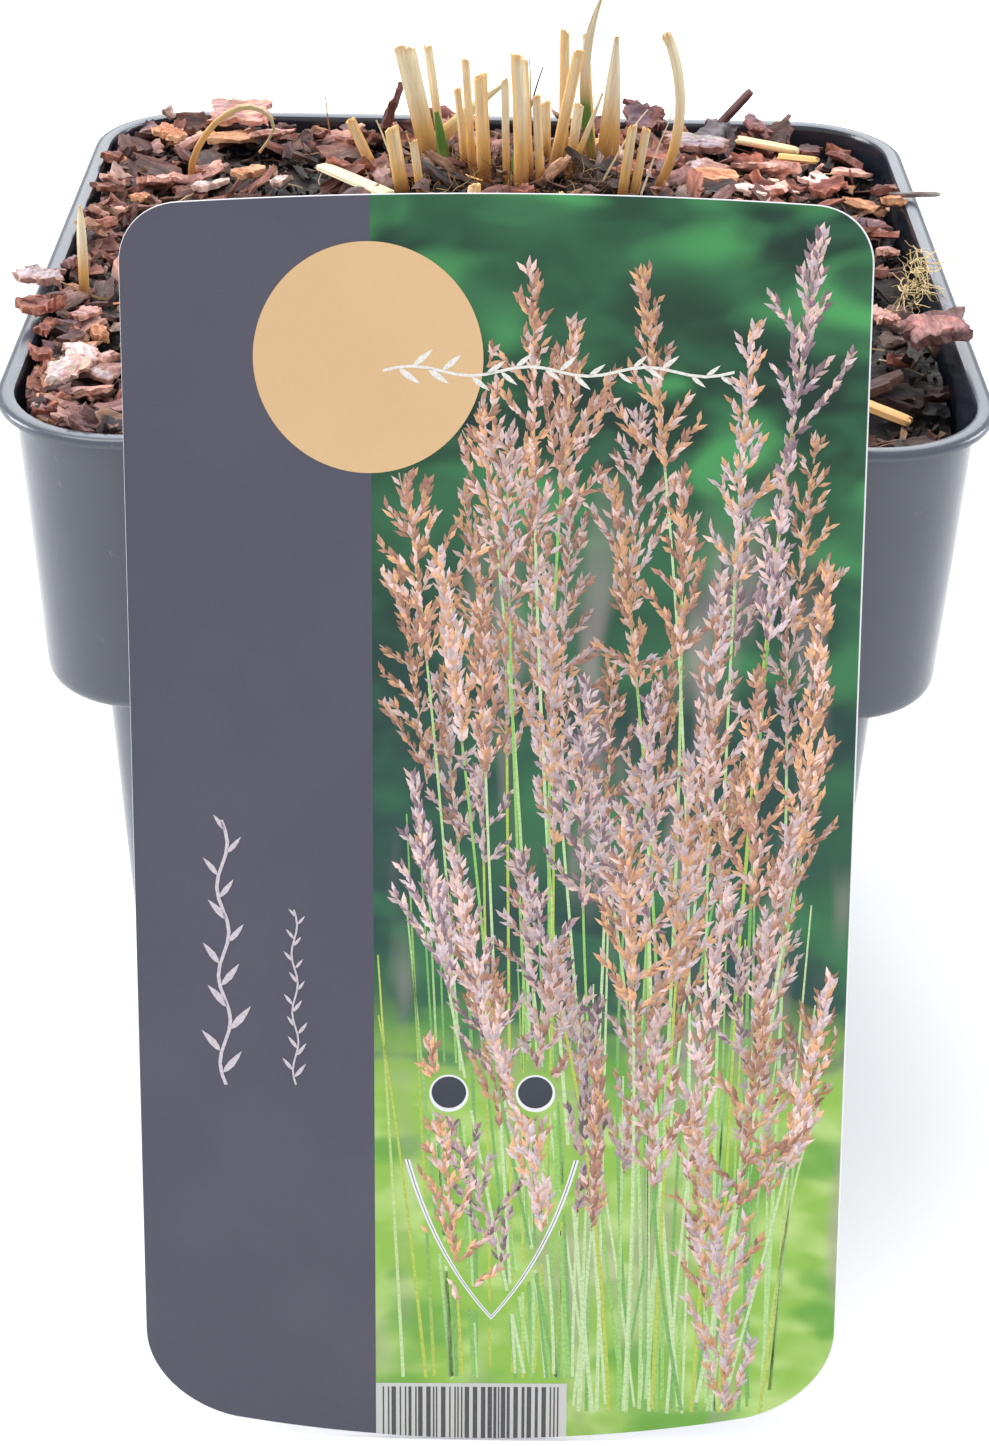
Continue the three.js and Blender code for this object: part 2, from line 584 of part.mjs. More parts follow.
function makeCard() {
  const c = card;
  const outline = new THREE.Shape();
  const side = c.halfWidth;
  const topX = side - c.topCorner;
  const topPullX = topX + c.topPull;
  const topPullY = c.topSide - c.topRise;
  const sideTop = c.topSide - c.topCorner;
  const bottomX = side - c.bottomCorner;
  const bottomPullX = bottomX + c.bottomPull;
  const bottomPullY = c.bottomSide + c.bottomRise;
  const sideBottom = c.bottomSide + c.bottomCorner;
  const sidePullY = sideBottom - c.bottomDrop;
  outline.moveTo(-side, sideBottom);
  outline.bezierCurveTo(-side, sidePullY, -bottomPullX, bottomPullY, -bottomX, c.bottomSide);
  outline.quadraticCurveTo(0, 2 * c.bottom - c.bottomSide, bottomX, c.bottomSide);
  outline.bezierCurveTo(bottomPullX, bottomPullY, side, sidePullY, side, sideBottom);
  outline.lineTo(side, sideTop);
  outline.bezierCurveTo(side, sideTop + c.topPull, topPullX, topPullY, topX, c.topSide);
  outline.quadraticCurveTo(0, 2 * c.top - c.topSide, -topX, c.topSide);
  outline.bezierCurveTo(-topPullX, topPullY, -side, sideTop + c.topPull, -side, sideTop);
  outline.closePath();
  for (const hand of [-1, 1]) {
    const round = new THREE.Path();
    round.absarc(hand * c.holeAt[0], c.holeAt[1], c.holeRadius, 0, 2 * Math.PI, true);
    outline.holes.push(round);
  }
  const half = c.slitWidth / 2;
  const slit = new THREE.Path();
  const [topU, topV] = c.slitTop;
  const [midU, midV] = c.slitMiddle;
  slit.moveTo(-topU - half, topV);
  slit.quadraticCurveTo(-midU - half, midV, 0, c.slitTip - half);
  slit.quadraticCurveTo(midU + half, midV, topU + half, topV);
  slit.lineTo(topU - half, topV);
  slit.quadraticCurveTo(midU - half, midV, 0, c.slitTip + half);
  slit.quadraticCurveTo(-midU + half, midV, -topU + half, topV);
  slit.closePath();
  outline.holes.push(slit);
  return new THREE.ExtrudeGeometry(outline, { depth: c.thick, bevelEnabled: false, curveSegments: 8 });
}

// The card's place: its front face crosses the rim's height just in front of the lip, it leans
// back, is turned a little in its own plane, and stands on the ground at its lowest point
function standCard(mesh) {
  const lean = radians(card.leanDegrees);
  const roll = radians(card.rollDegrees);
  const outward = new THREE.Vector3(0, -Math.cos(lean), Math.sin(lean));
  const up = new THREE.Vector3(0, Math.sin(lean), Math.cos(lean)).applyAxisAngle(outward, roll);
  const right = new THREE.Vector3().crossVectors(up, outward);
  const place = new THREE.Matrix4().makeBasis(right, up, outward);
  const back = outward.clone().multiplyScalar(-card.thick);
  place.setPosition(back.x, card.frontAtRim + back.y, potHeight + back.z);
  mesh.applyMatrix4(place);
  mesh.updateMatrixWorld(true);
  const lowest = new THREE.Box3().setFromObject(mesh, true).min.z;
  mesh.position.addScaledVector(up, -lowest / up.z);
}

const finishes = {
  pot: { color: 0x5c6068, roughness: 0.5 },
  compost: { color: 0x2a211c, roughness: 1 },
  crown: { color: 0x5d4330, roughness: 0.95 },
  mulch: { color: 0x7a4434, roughness: 0.95 },
  bark: { color: 0x8c5444, roughness: 0.9 },
  straw: { color: 0xdcc08a, roughness: 0.75 },
  green: { color: 0x4a7f3c, roughness: 0.6 },
  roots: { color: 0xc2a878, roughness: 0.9 },
  card: { color: 0x5f7a62, roughness: 0.45 },
};

const grassPot = new THREE.Group();

function add(name, geometry, finish) {
  const material = new THREE.MeshStandardMaterial({ ...finishes[finish], metalness: 0 });
  const mesh = new THREE.Mesh(geometry, material);
  mesh.name = name;
  grassPot.add(mesh);
  return mesh;
}

const pot = makePot();
const room = makeRoom();
let compost = room.intersect(layer(0, mulchBottom - gap)).subtract(makeCrown(gap));
let crown = makeCrown(0);
let mulch = makeMulch(room.intersect(layer(mulchBottom, potHeight + fillHeadroom)));
mulch = mulch.subtract(makeCrown(gap));

// Stems and blades stand in plain holes, and where two of them press together one gives way
const standing = [];
for (const row of rows) {
  const socket = makeHole(row);
  mulch = mulch.subtract(socket);
  crown = crown.subtract(socket);
  compost = compost.subtract(socket);
  let body = row.make(row);
  for (const other of standing) body = body.subtract(other.cutter);
  standing.push({ ...row, cutter: row.make(row, gap), body: largest(body) });
}
mulch = largest(mulch.simplify(cutTolerance));

const lying = [];
let below = mulch.add(pot).add(compost);
for (const { body } of standing) below = below.add(body);
function lay(name, geometry, at, turn, tilt, finish) {
  const turned = laid(geometry, turn, ...tilt);
  const body = settled(solid(moved(turned, at[0], at[1], potHeight)), below);
  below = below.add(body);
  lying.push({ name, body, finish });
}
for (const { name, at, size, turn, tilt, seed } of looseFlakes) {
  lay(name, flake(...size, draws(seed)), at, turn, tilt, 'bark');
}
for (const { name, at, size, turn, tilt, finish = 'straw' } of looseSlivers) {
  lay(name, sliver(size), at, turn, tilt, finish);
}
lay('root_tuft', geometryOf(makeRootTuft()), rootKnot.at, 0, [0, 0], 'roots');

add('pot', geometryOf(pot), 'pot');
add('compost', geometryOf(largest(compost)), 'compost');
add('crown', geometryOf(largest(crown)), 'crown');
add('bark_mulch', geometryOf(mulch), 'mulch');
for (const { name, body, finish } of [...standing, ...lying]) add(name, geometryOf(body), finish);
standCard(add('label', makeCard(), 'card'));

export default grassPot;
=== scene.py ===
# Purple moor grass cut back for the winter, in a square nursery pot with bark mulch, with a card
# label that leans on the rim. Sizes are millimetres and become metres when a mesh is made.
import math
import random

import bmesh
import bpy
from mathutils import Euler, Matrix, Vector, noise


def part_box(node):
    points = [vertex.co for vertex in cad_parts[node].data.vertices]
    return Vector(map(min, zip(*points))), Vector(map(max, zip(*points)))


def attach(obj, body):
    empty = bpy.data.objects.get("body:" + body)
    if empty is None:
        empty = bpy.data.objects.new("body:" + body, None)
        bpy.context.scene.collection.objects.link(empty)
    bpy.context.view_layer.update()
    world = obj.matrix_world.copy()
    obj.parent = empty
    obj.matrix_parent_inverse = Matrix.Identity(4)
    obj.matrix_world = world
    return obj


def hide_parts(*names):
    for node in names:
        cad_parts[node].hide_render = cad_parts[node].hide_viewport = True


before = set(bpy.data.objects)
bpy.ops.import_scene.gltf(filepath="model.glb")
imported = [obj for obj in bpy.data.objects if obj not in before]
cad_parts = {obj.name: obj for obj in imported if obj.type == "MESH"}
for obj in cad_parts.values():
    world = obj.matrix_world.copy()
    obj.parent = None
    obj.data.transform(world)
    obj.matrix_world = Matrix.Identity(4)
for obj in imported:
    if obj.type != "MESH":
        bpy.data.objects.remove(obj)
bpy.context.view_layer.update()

# Nursery pot
# One thin injection-moulded shell of slate-grey polypropylene: a wide upper tier, a rounded step,
# a tapering lower tier, and a lip turned out and rounded. The base has drainage channels and holes.
MM = 0.001
pot_height = 128
pot_wall = 1.0
lip_depth = 1.5
step_height = pot_height - 42.5
step_round = 3.0
lip_half = 65.0
lip_corner = 17.0
# Half the width and the corner radius of each tier, at its foot and at its top
upper_half = (61, 62.8)
upper_corner = (12.8, 15.4)
lower_half = (50.4, 53.9)
lower_corner = (8.0, 10.0)
base_round = 1.5
floor_thick = 2.4
step_inset = 1.6
slate_dark = (0.055, 0.063, 0.088)
slate_pale = (0.067, 0.076, 0.103)
pale_dust = (0.25, 0.23, 0.22)
# Colour of the painted shade on the faces that look into the pot
inner_painted_shade = (0.016, 0.020, 0.030)


def rounded_square(half, corner, z, corner_steps=12, side_steps=8):
    """Ring of points round a square with rounded corners; they crowd where a side starts to turn."""
    straight = half - corner
    quarter = []
    for k in range(corner_steps + 1):
        angle = math.pi / 2 * k / corner_steps
        x = straight + corner * math.cos(angle)
        y = straight + corner * math.sin(angle)
        quarter.append(Vector((x, y, z)))
    for k in range(1, side_steps):
        along = math.cos(math.pi * k / side_steps)
        quarter.append(Vector((straight * along, half, z)))
    ring = []
    for turn in range(4):
        spin = Matrix.Rotation(turn * math.pi / 2, 3, "Z")
        ring.extend(spin @ point for point in quarter)
    return ring


def loft(rings):
    """Points and faces of a closed skin through rings of equally many points, flat at both ends."""
    size = len(rings[0])
    points = [point for ring in rings for point in ring]
    faces = []
    for i in range(len(rings) - 1):
        for k in range(size):
            a = i * size + k
            b = i * size + (k + 1) % size
            faces.append((a, b, b + size, a + size))
    last = (len(rings) - 1) * size
    faces.append(tuple(reversed(range(size))))
    faces.append(tuple(range(last, last + size)))
    return points, faces


def mesh_object(name, points, faces, crease=38, colours=None, grains=None):
    """New object from points in millimetres, smooth up to the crease angle. colours and grains give
    each point its tint and its place in the fibres of the piece."""
    mesh = bpy.data.meshes.new(name)
    mesh.from_pydata([tuple(MM * c for c in point) for point in points], [], faces)
    if colours:
        tint = mesh.attributes.new("tint", "FLOAT_COLOR", "POINT")
        tint.data.foreach_set("color", [c for colour in colours for c in (*colour, 1.0)])
    if grains:
        grain = mesh.attributes.new("grain", "FLOAT_VECTOR", "POINT")
        grain.data.foreach_set("vector", [c for vector in grains for c in vector])
    mesh.shade_smooth()
    mesh.set_sharp_from_angle(angle=math.radians(crease))
    piece = bpy.data.objects.new(name, mesh)
    bpy.context.scene.collection.objects.link(piece)
    return piece


def carve(piece, tool):
    """Cuts the tool out of the piece, applies the cut and removes the tool."""
    cut = piece.modifiers.new("cut", "BOOLEAN")
    cut.operation = "DIFFERENCE"
    cut.solver = "EXACT"
    cut.object = tool
    cut.use_self = True
    bpy.context.view_layer.update()
    graph = bpy.context.evaluated_depsgraph_get()
    carved = bpy.data.meshes.new_from_object(piece.evaluated_get(graph))
    piece.modifiers.clear()
    piece.data = carved
    bpy.data.objects.remove(tool)


def pot_rings():
    """Rings up the outside of the pot, over its lip and down the inside to the floor."""
    rings = []

    def ring(half, corner, z):
        rings.append(rounded_square(half, corner, z))

    def rounding(half, corner, radius, z, angles):
        for degrees in angles:
            back = radius * (1 - math.sin(math.radians(degrees)))
            rise = radius * (1 - math.cos(math.radians(degrees)))
            ring(half[0] - back, corner[0] - back / 2, z + rise)

    def tapered(half, corner, bottom, top, shares):
        for share in shares:
            wide = half[0] + share * (half[1] - half[0])
            ring(wide, corner[0] + share * (corner[1] - corner[0]), bottom + share * (top - bottom))

    rounding(lower_half, lower_corner, base_round, 0, (0, 30, 60, 90))
    tapered(lower_half, lower_corner, base_round, step_height, (0.03, 0.97, 1.0))
    rounding(upper_half, upper_corner, step_round, step_height, (0, 15, 30, 45, 60, 75, 90))
    tapered(upper_half, upper_corner, step_height + step_round, pot_height - lip_depth, (0.04, 0.96, 1.0))
    # The lip: how far in from its edge, and how far down from the rim
    for inward, down in ((1.3, 1.3), (0.4, 1.35), (0.1, 1.2), (0.0, 0.9), (0.0, 0.6), (0.12, 0.3),
                         (0.45, 0.08), (1.0, 0.0), (1.8, 0.02), (2.3, 0.15), (2.55, 0.5), (2.6, 1.0)):
        ring(lip_half - inward, lip_corner - inward, pot_height - down)
    # The inner face: the outer form it follows, how far inside that, and its height
    for half, corner, inset, z in (
            (upper_half[0], upper_corner[0], pot_wall, step_height + step_round),
            (upper_half[0], upper_corner[0], pot_wall + step_inset, step_height + pot_wall),
            (lower_half[1], lower_corner[1], pot_wall, step_height + pot_wall),
            (lower_half[0], lower_corner[0], pot_wall, floor_thick + 1),
            (lower_half[0], lower_corner[0], pot_wall + 1, floor_thick)):
        ring(half - inset, corner - inset, z)
    return rings


def drainage():
    """Channels under the base and the eight holes where they lead, as one cutting tool."""
    reach = 2 * lower_half[1]
    depth, width, offset, radius = 1.2, 9, 22, 4
    tool = bmesh.new()
    for side in (-offset, offset):
        for size, place in (((width, reach), (side, 0)), ((reach, width), (0, side))):
            scale = Matrix.Diagonal((size[0] * MM, size[1] * MM, 2 * depth * MM, 1))
            spot = Matrix.Translation(Vector((*place, 0)) * MM)
            bmesh.ops.create_cube(tool, size=1, matrix=spot @ scale)
    for x in (-offset, 0, offset):
        for y in (-offset, 0, offset):
            if x or y:
                spot = Matrix.Translation(Vector((x, y, 0)) * MM)
                bmesh.ops.create_cone(tool, cap_ends=True, segments=32, radius1=radius * MM,
                                      radius2=radius * MM, depth=4 * floor_thick * MM, matrix=spot)
    mesh = bpy.data.meshes.new("drainage")
    tool.to_mesh(mesh)
    tool.free()
    cutter = bpy.data.objects.new("drainage", mesh)
    bpy.context.scene.collection.objects.link(cutter)
    return cutter


def put(tree, kind, **settings):
    """New shader node with the given settings."""
    made = tree.nodes.new(kind)
    for name, value in settings.items():
        setattr(made, name, value)
    return made


def start_material(name):
    """New material with its node tree and its shader."""
    material = bpy.data.materials.new(name)
    material.use_nodes = True
    return material, material.node_tree, material.node_tree.nodes["Principled BSDF"]


def start_group(name, inputs, outputs):
    """New node group; inputs are (name, socket type, value) and outputs (name, socket type)."""
    group = bpy.data.node_groups.new(name, "ShaderNodeTree")
    for label, kind, value in inputs:
        socket = group.interface.new_socket(label, in_out="INPUT", socket_type=kind)
        if value is not None:
            socket.default_value = value
    for label, kind in outputs:
        group.interface.new_socket(label, in_out="OUTPUT", socket_type=kind)
    return group, put(group, "NodeGroupInput"), put(group, "NodeGroupOutput")


def use_group(tree, group, **values):
    """Places a group; values are plain numbers, or sockets to link."""
    placed = put(tree, "ShaderNodeGroup", node_tree=group)
    for name, value in values.items():
        target = placed.inputs[name]
        if isinstance(value, bpy.types.NodeSocket):
            tree.links.new(value, target)
        else:
            target.default_value = value
    return placed.outputs


def blend_colours(tree, mask, first, second, way="MIX"):
    """first where the mask is 0 and second where it is 1; each is a colour or a socket."""
    mix = put(tree, "ShaderNodeMix", data_type="RGBA", blend_type=way)
    for index, value in ((0, mask), (6, first), (7, second)):
        target = mix.inputs[index]
        if isinstance(value, bpy.types.NodeSocket):
            tree.links.new(value, target)
        elif index == 0:
            target.default_value = value
        else:
            target.default_value = (*value, 1.0)
    return mix.outputs[2]


def spread(tree, value, start, end, low=0.0, high=1.0):
    """Maps a value between low and high onto start to end, held at both ends."""
    ranged = put(tree, "ShaderNodeMapRange", interpolation_type="SMOOTHSTEP")
    tree.links.new(value, ranged.inputs["Value"])
    for name, number in (("From Min", low), ("From Max", high), ("To Min", start), ("To Max", end)):
        ranged.inputs[name].default_value = number
    return ranged.outputs["Result"]


def patches_group():
    """Soft-edged patches, such as mottled colour, dust or damp."""
    group, entry, leave = start_group(
        "patches",
        [("Vector", "NodeSocketVector", None), ("Scale", "NodeSocketFloat", 50.0),
         ("Detail", "NodeSocketFloat", 4.0), ("Distortion", "NodeSocketFloat", 0.0),
         ("Low", "NodeSocketFloat", 0.4), ("High", "NodeSocketFloat", 0.6)],
        [("Mask", "NodeSocketFloat")])
    cloud = put(group, "ShaderNodeTexNoise")
    cloud.inputs["Roughness"].default_value = 0.6
    ranged = put(group, "ShaderNodeMapRange", interpolation_type="SMOOTHSTEP")
    for source, target in (("Vector", cloud.inputs["Vector"]), ("Scale", cloud.inputs["Scale"]),
                           ("Detail", cloud.inputs["Detail"]), ("Distortion", cloud.inputs["Distortion"]),
                           ("Low", ranged.inputs["From Min"]), ("High", ranged.inputs["From Max"])):
        group.links.new(entry.outputs[source], target)
    group.links.new(cloud.outputs["Fac"], ranged.inputs["Value"])
    group.links.new(ranged.outputs["Result"], leave.inputs["Mask"])
    return group


patches = patches_group()


def mottling(tree, place, scale, detail, low, high, distortion=0.0):
    """The patches of one material, as a mask."""
    return use_group(tree, patches, Vector=place, Scale=scale, Detail=detail, Distortion=distortion,
                     Low=low, High=high)["Mask"]


def stretched(tree, vector, factors):
    """The vector with each of its parts multiplied by a factor."""
    product = put(tree, "ShaderNodeVectorMath", operation="MULTIPLY")
    tree.links.new(vector, product.inputs[0])
    product.inputs[1].default_value = factors
    return product.outputs["Vector"]


def add_bump(tree, shader, height, strength, distance, finer=None):
    """Bump of a surface, on top of a finer one if that is given; distance is in metres."""
    bump = put(tree, "ShaderNodeBump")
    bump.inputs["Strength"].default_value = strength
    bump.inputs["Distance"].default_value = distance
    tree.links.new(height, bump.inputs["Height"])
    if finer:
        tree.links.new(finer, bump.inputs["Normal"])
    tree.links.new(bump.outputs["Normal"], shader.inputs["Normal"])
    return bump.outputs["Normal"]


def moulded_plastic():
    """Slate-grey plastic: faintly mottled and dusty, with painted shade on the faces that look inwards."""
    material, tree, shader = start_material("slate_polypropylene")
    place = put(tree, "ShaderNodeTexCoord").outputs["Object"]
    cloud = mottling(tree, place, 28.0, 3.0, 0.35, 0.7)
    slate = blend_colours(tree, cloud, slate_dark, slate_pale)
    dust = mottling(tree, place, 420.0, 6.0, 0.63, 0.78)
    dusted = blend_colours(tree, spread(tree, dust, 0.0, 0.3), slate, pale_dust)
    outwards = put(tree, "ShaderNodeVectorMath", operation="NORMALIZE")
    tree.links.new(stretched(tree, place, (1.0, 1.0, 0.0)), outwards.inputs[0])
    facing = put(tree, "ShaderNodeVectorMath", operation="DOT_PRODUCT")
    tree.links.new(outwards.outputs["Vector"], facing.inputs[0])
    tree.links.new(put(tree, "ShaderNodeTexCoord").outputs["Normal"], facing.inputs[1])
    # Painted shade and painted reflection of the dark mulch: faces that look into the pot are darkened
    # almost to black
    inside = spread(tree, facing.outputs["Value"], 1.0, 0.0, -0.85, -0.45)
    inner_shaded = blend_colours(tree, inside, dusted, inner_painted_shade)
    tree.links.new(inner_shaded, shader.inputs["Base Color"])
    tree.links.new(spread(tree, cloud, 0.19, 0.26), shader.inputs["Roughness"])
    shader.inputs["Specular IOR Level"].default_value = 0.65
    # Fine moulded texture, and the faint waviness of a thin wall
    texture = put(tree, "ShaderNodeTexNoise")
    texture.inputs["Scale"].default_value = 1900.0
    texture.inputs["Detail"].default_value = 3.0
    tree.links.new(place, texture.inputs["Vector"])
    fine = add_bump(tree, shader, texture.outputs["Fac"], 0.12, 0.0001)
    add_bump(tree, shader, cloud, 0.2, 0.0006, fine)
    return material


pot = mesh_object("pot_shell", *loft(pot_rings()))
carve(pot, drainage())
pot.data.materials.append(moulded_plastic())
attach(pot, "root")
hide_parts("pot")

# Compost and crown
# Dark peaty compost fills the pot, and the woody crown of the grass sits in it and holds the
# stems. Both lie under the mulch, and the compost also shows at the drainage holes.


def crumbly(name, dark, light, size, depth):
    """Material of a loose crumbly stuff; size is how fine its crumbs are, depth how deep in metres."""
    material, tree, shader = start_material(name)
    place = put(tree, "ShaderNodeTexCoord").outputs["Object"]
    crumbs = put(tree, "ShaderNodeTexVoronoi")
    crumbs.inputs["Scale"].default_value = size
    tree.links.new(place, crumbs.inputs["Vector"])
    cloud = mottling(tree, place, 0.7 * size, 5.0, 0.35, 0.7)
    tree.links.new(blend_colours(tree, cloud, dark, light), shader.inputs["Base Color"])
    add_bump(tree, shader, crumbs.outputs["Distance"], 0.9, depth)
    shader.inputs["Roughness"].default_value = 0.9
    return material


peat = crumbly("peat", (0.018, 0.012, 0.010), (0.075, 0.045, 0.032), 900.0, 0.0009)
crown_wood = crumbly("crown_wood", (0.05, 0.025, 0.016), (0.17, 0.09, 0.05), 600.0, 0.0008)
for node_name, finish in (("compost", peat), ("crown", crown_wood)):
    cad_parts[node_name].data.materials.clear()
    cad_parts[node_name].data.materials.append(finish)

# Bark mulch
# A bed of dark fines with flakes and shards of pine bark on it, each split from a larger flake.
# Outer bark is purple-grey to red-brown, inner faces are orange, tan or pinkish and fibrous.
mulch_bottom = pot_height - 12
mulch_level = pot_height - 4.5
# Heaps and one dip: place, height and spread
mounds = ((3, 20, 8, 26), (-42, 47, 2, 9), (-60, 22, 2.5, 13), (-59, -14, 3.5, 11), (-60, -44, 2.5, 11),
          (60, -28, 2.5, 8), (57, -50, -3.5, 14))
# Round this spot the chips are made paler: place and spread
pale_chip_spot = (44, 42, 24)
# Places with few chips, at the right and round the foot of the tuft: place and spread. Chips and
# fines there are darker: dark compost, and round the feet of the stems also painted shade
bare_spots = ((57, -30, 22), (-10, 25, 5), (13, 28, 5), (-3, 27, 4), (-22, 45, 4))
mulch_half = 61.3
mulch_corner = 13.7
fines_depth = 2.2
# Painted shade in the hollows: chips are almost black this far below the bed's level, and at full colour
# this far above it
shade_black_below = 0.8
shade_clear_above = 1.5
fines_colour = (0.042, 0.024, 0.021)
crumb_count = 3600
wall_chip_count = 340


def mulch_height(x, y):
    """Height of the mulch: level, with a mound round the grass, some heaps and one dip."""
    z = mulch_level
    for at_x, at_y, height, width in mounds:
        distance = math.hypot(x - at_x, y - at_y) / width
        z += height * math.exp(-distance * distance / 2)
    return z


def unevenness(x, y):
    """Small rises and hollows in the fines, no more than 0.7 mm each way."""
    across = math.sin(x / 5.3 + 1.1 * math.sin(y / 7.1))
    return 0.7 * across * math.cos(y / 4.7 + 0.9 * math.sin(x / 6.3))


def clamped(value):
    """The value, held between 0 and 1."""
    return max(0.0, min(1.0, value))


def shaded(colour, shade):
    """The colour made darker, or paler where the shade is over 1."""
    return [shade * c for c in colour]


def turned(*degrees):
    """Turn round x, then y, then z."""
    return Euler([math.radians(angle) for angle in degrees]).to_matrix()


def bareness(x, y):
    """1 in the middle of a spot with few chips, 0 far from them all. The dark there is open compost,
    and round the feet of the stems also painted shade.
    """
    far = min(math.hypot(x - at_x, y - at_y) / width for at_x, at_y, width in bare_spots)
    return math.exp(-far * far / 2)


def kept_inside(point):
    """The point, moved straight in where it would cross the pot's inner wall."""
    straight = mulch_half - mulch_corner
    x = max(-mulch_half, min(mulch_half, point.x))
    y = max(-mulch_half, min(mulch_half, point.y))
    out_x = abs(x) - straight
    out_y = abs(y) - straight
    if out_x > 0 and out_y > 0:
        far = math.hypot(out_x, out_y)
        if far > mulch_corner:
            x = math.copysign(straight + out_x * mulch_corner / far, x)
            y = math.copysign(straight + out_y * mulch_corner / far, y)
    return Vector((x, y, point.z))


def draws(seed):
    """Seeded draws between two bounds, the same in the same order every time."""
    state = seed

    def draw(bounds):
        nonlocal state
        state = (state * 1664525 + 1013904223) % 2**32
        return bounds[0] + (bounds[1] - bounds[0]) * state / 2**32

    return draw


def new_heap():
    """Many small bodies that are made into one mesh: their points, faces, tints and grains."""
    return {"points": [], "faces": [], "colours": [], "grains": []}


def heap_up(heap, points, faces, colours, grains):
    """Adds one body to a heap."""
    start = len(heap["points"])
    heap["points"].extend(points)
    heap["faces"].extend(tuple(start + i for i in face) for face in faces)
    heap["colours"].extend(colours)
    heap["grains"].extend(grains)


def grid(columns, rows):
    """Squares of a grid of points that run row by row, and the loop of points round its edge."""

    def at(i, j):
        return i * (rows + 1) + j

    squares = [(at(i, j), at(i + 1, j), at(i + 1, j + 1), at(i, j + 1))
               for i in range(columns) for j in range(rows)]
    loop = [at(i, 0) for i in range(columns)] + [at(columns, j) for j in range(rows)]
    loop += [at(i, rows) for i in range(columns, 0, -1)] + [at(0, j) for j in range(rows, 0, -1)]
    return squares, loop


def slab(place, thick, luck, columns, rows, rough):
    """Closed rough slab of bark. place(s, t) gives the middle of its thickness, s along the fibres
    and t across them, from 0 to 1; rough is how far its skin strays. It is curled and ragged, and a
    part of its upper face has split off. Returns points, faces, and for each point top, edge or under."""
    ends = [(luck.uniform(-0.03, 0.15), luck.uniform(-0.03, 0.15)) for _ in range(rows + 1)]
    flanks = [(luck.uniform(-0.02, 0.13), luck.uniform(-0.02, 0.13)) for _ in range(columns + 1)]
    ledge = luck.uniform(0.25, 0.85)
    slant = luck.uniform(-0.7, 0.7)
    drop = luck.choice((0, 0.25, 0.4, 0.5))
    curl = luck.uniform(-0.07, 0.2) * (place(0.5, 1) - place(0.5, 0)).length
    points = []
    sides = []
    for side, sign in (("top", 1), ("under", -1)):
        for i in range(columns + 1):
            for j in range(rows + 1):
                rim = i in (0, columns) or j in (0, rows)
                s = (i + (luck.uniform(-0.3, 0.3) if 0 < i < columns else 0)) / columns
                t = (j + (luck.uniform(-0.3, 0.3) if 0 < j < rows else 0)) / rows
                first, last = ends[j]
                near, far = flanks[i]
                point = place(first + s * (1 - first - last), near + t * (1 - near - far))
                if rim:
                    stray = Vector((luck.uniform(-1, 1), luck.uniform(-1, 1), 0))
                    point = point + stray * rough * 1.5
                split = side == "top" and s + slant * (t - 0.5) > ledge
                level = 0.5 - (drop if split else 0)
                point.z += sign * thick * min(level, 0.32 if rim else 1) + luck.uniform(-1, 1) * rough
                point.z += curl * (2 * t - 1) ** 2
                points.append(point)
                sides.append("edge" if rim or (split and drop) else side)
    layer = (columns + 1) * (rows + 1)
    faces = []
    squares, loop = grid(columns, rows)
    for square in squares:
        faces.append(square)
        faces.append(tuple(layer + k for k in reversed(square)))
    for k, a in enumerate(loop):
        b = loop[(k + 1) % len(loop)]
        faces.append((a, layer + a, layer + b, b))
    return points, faces, sides


# Each kind of bark: how common it is, its outer face, its broken edge and its inner face
bark_kinds = {
    "red_brown": (0.28, (0.21, 0.058, 0.042), (0.42, 0.155, 0.100), (0.31, 0.095, 0.068)),
    "dark_brown": (0.19, (0.075, 0.030, 0.027), (0.19, 0.068, 0.050), (0.14, 0.050, 0.040)),
    "purple_grey": (0.15, (0.20, 0.125, 0.150), (0.32, 0.155, 0.145), (0.27, 0.125, 0.120)),
    "orange": (0.10, (0.62, 0.25, 0.120), (0.78, 0.42, 0.230), (0.50, 0.19, 0.100)),
    "pinkish": (0.13, (0.62, 0.36, 0.330), (0.72, 0.39, 0.300), (0.48, 0.24, 0.200)),
    "whitish": (0.05, (0.84, 0.70, 0.680), (0.76, 0.52, 0.440), (0.64, 0.40, 0.340)),
    "black_brown": (0.10, (0.024, 0.016, 0.017), (0.065, 0.030, 0.027), (0.038, 0.022, 0.021)),
    "lilac_grey": (0.0, (0.52, 0.43, 0.450), (0.38, 0.20, 0.165), (0.40, 0.28, 0.270)),
    "slate": (0.0, (0.17, 0.155, 0.170), (0.10, 0.080, 0.085), (0.12, 0.10, 0.100)),
    "rose": (0.0, (0.46, 0.21, 0.190), (0.17, 0.075, 0.070), (0.12, 0.06, 0.060)),
}


def faces_of(kind):
    """The colours of one kind of bark by side."""
    _, outer, edge, inner = bark_kinds[kind]
    return {"top": outer, "edge": edge, "under": inner}


def bark_kind(luck):
    """The colours of one chip that lies either way up: top, edge and under."""
    pick = luck.random()
    for share, outer, edge, inner in bark_kinds.values():
        pick -= share
        if pick < 0:
            break
    faces = [outer, inner]
    if luck.random() < 0.4:
        faces.reverse()
    shade = luck.uniform(0.6, 1.25)
    return {"top": shaded(faces[0], shade), "edge": shaded(edge, shade), "under": shaded(faces[1], shade)}


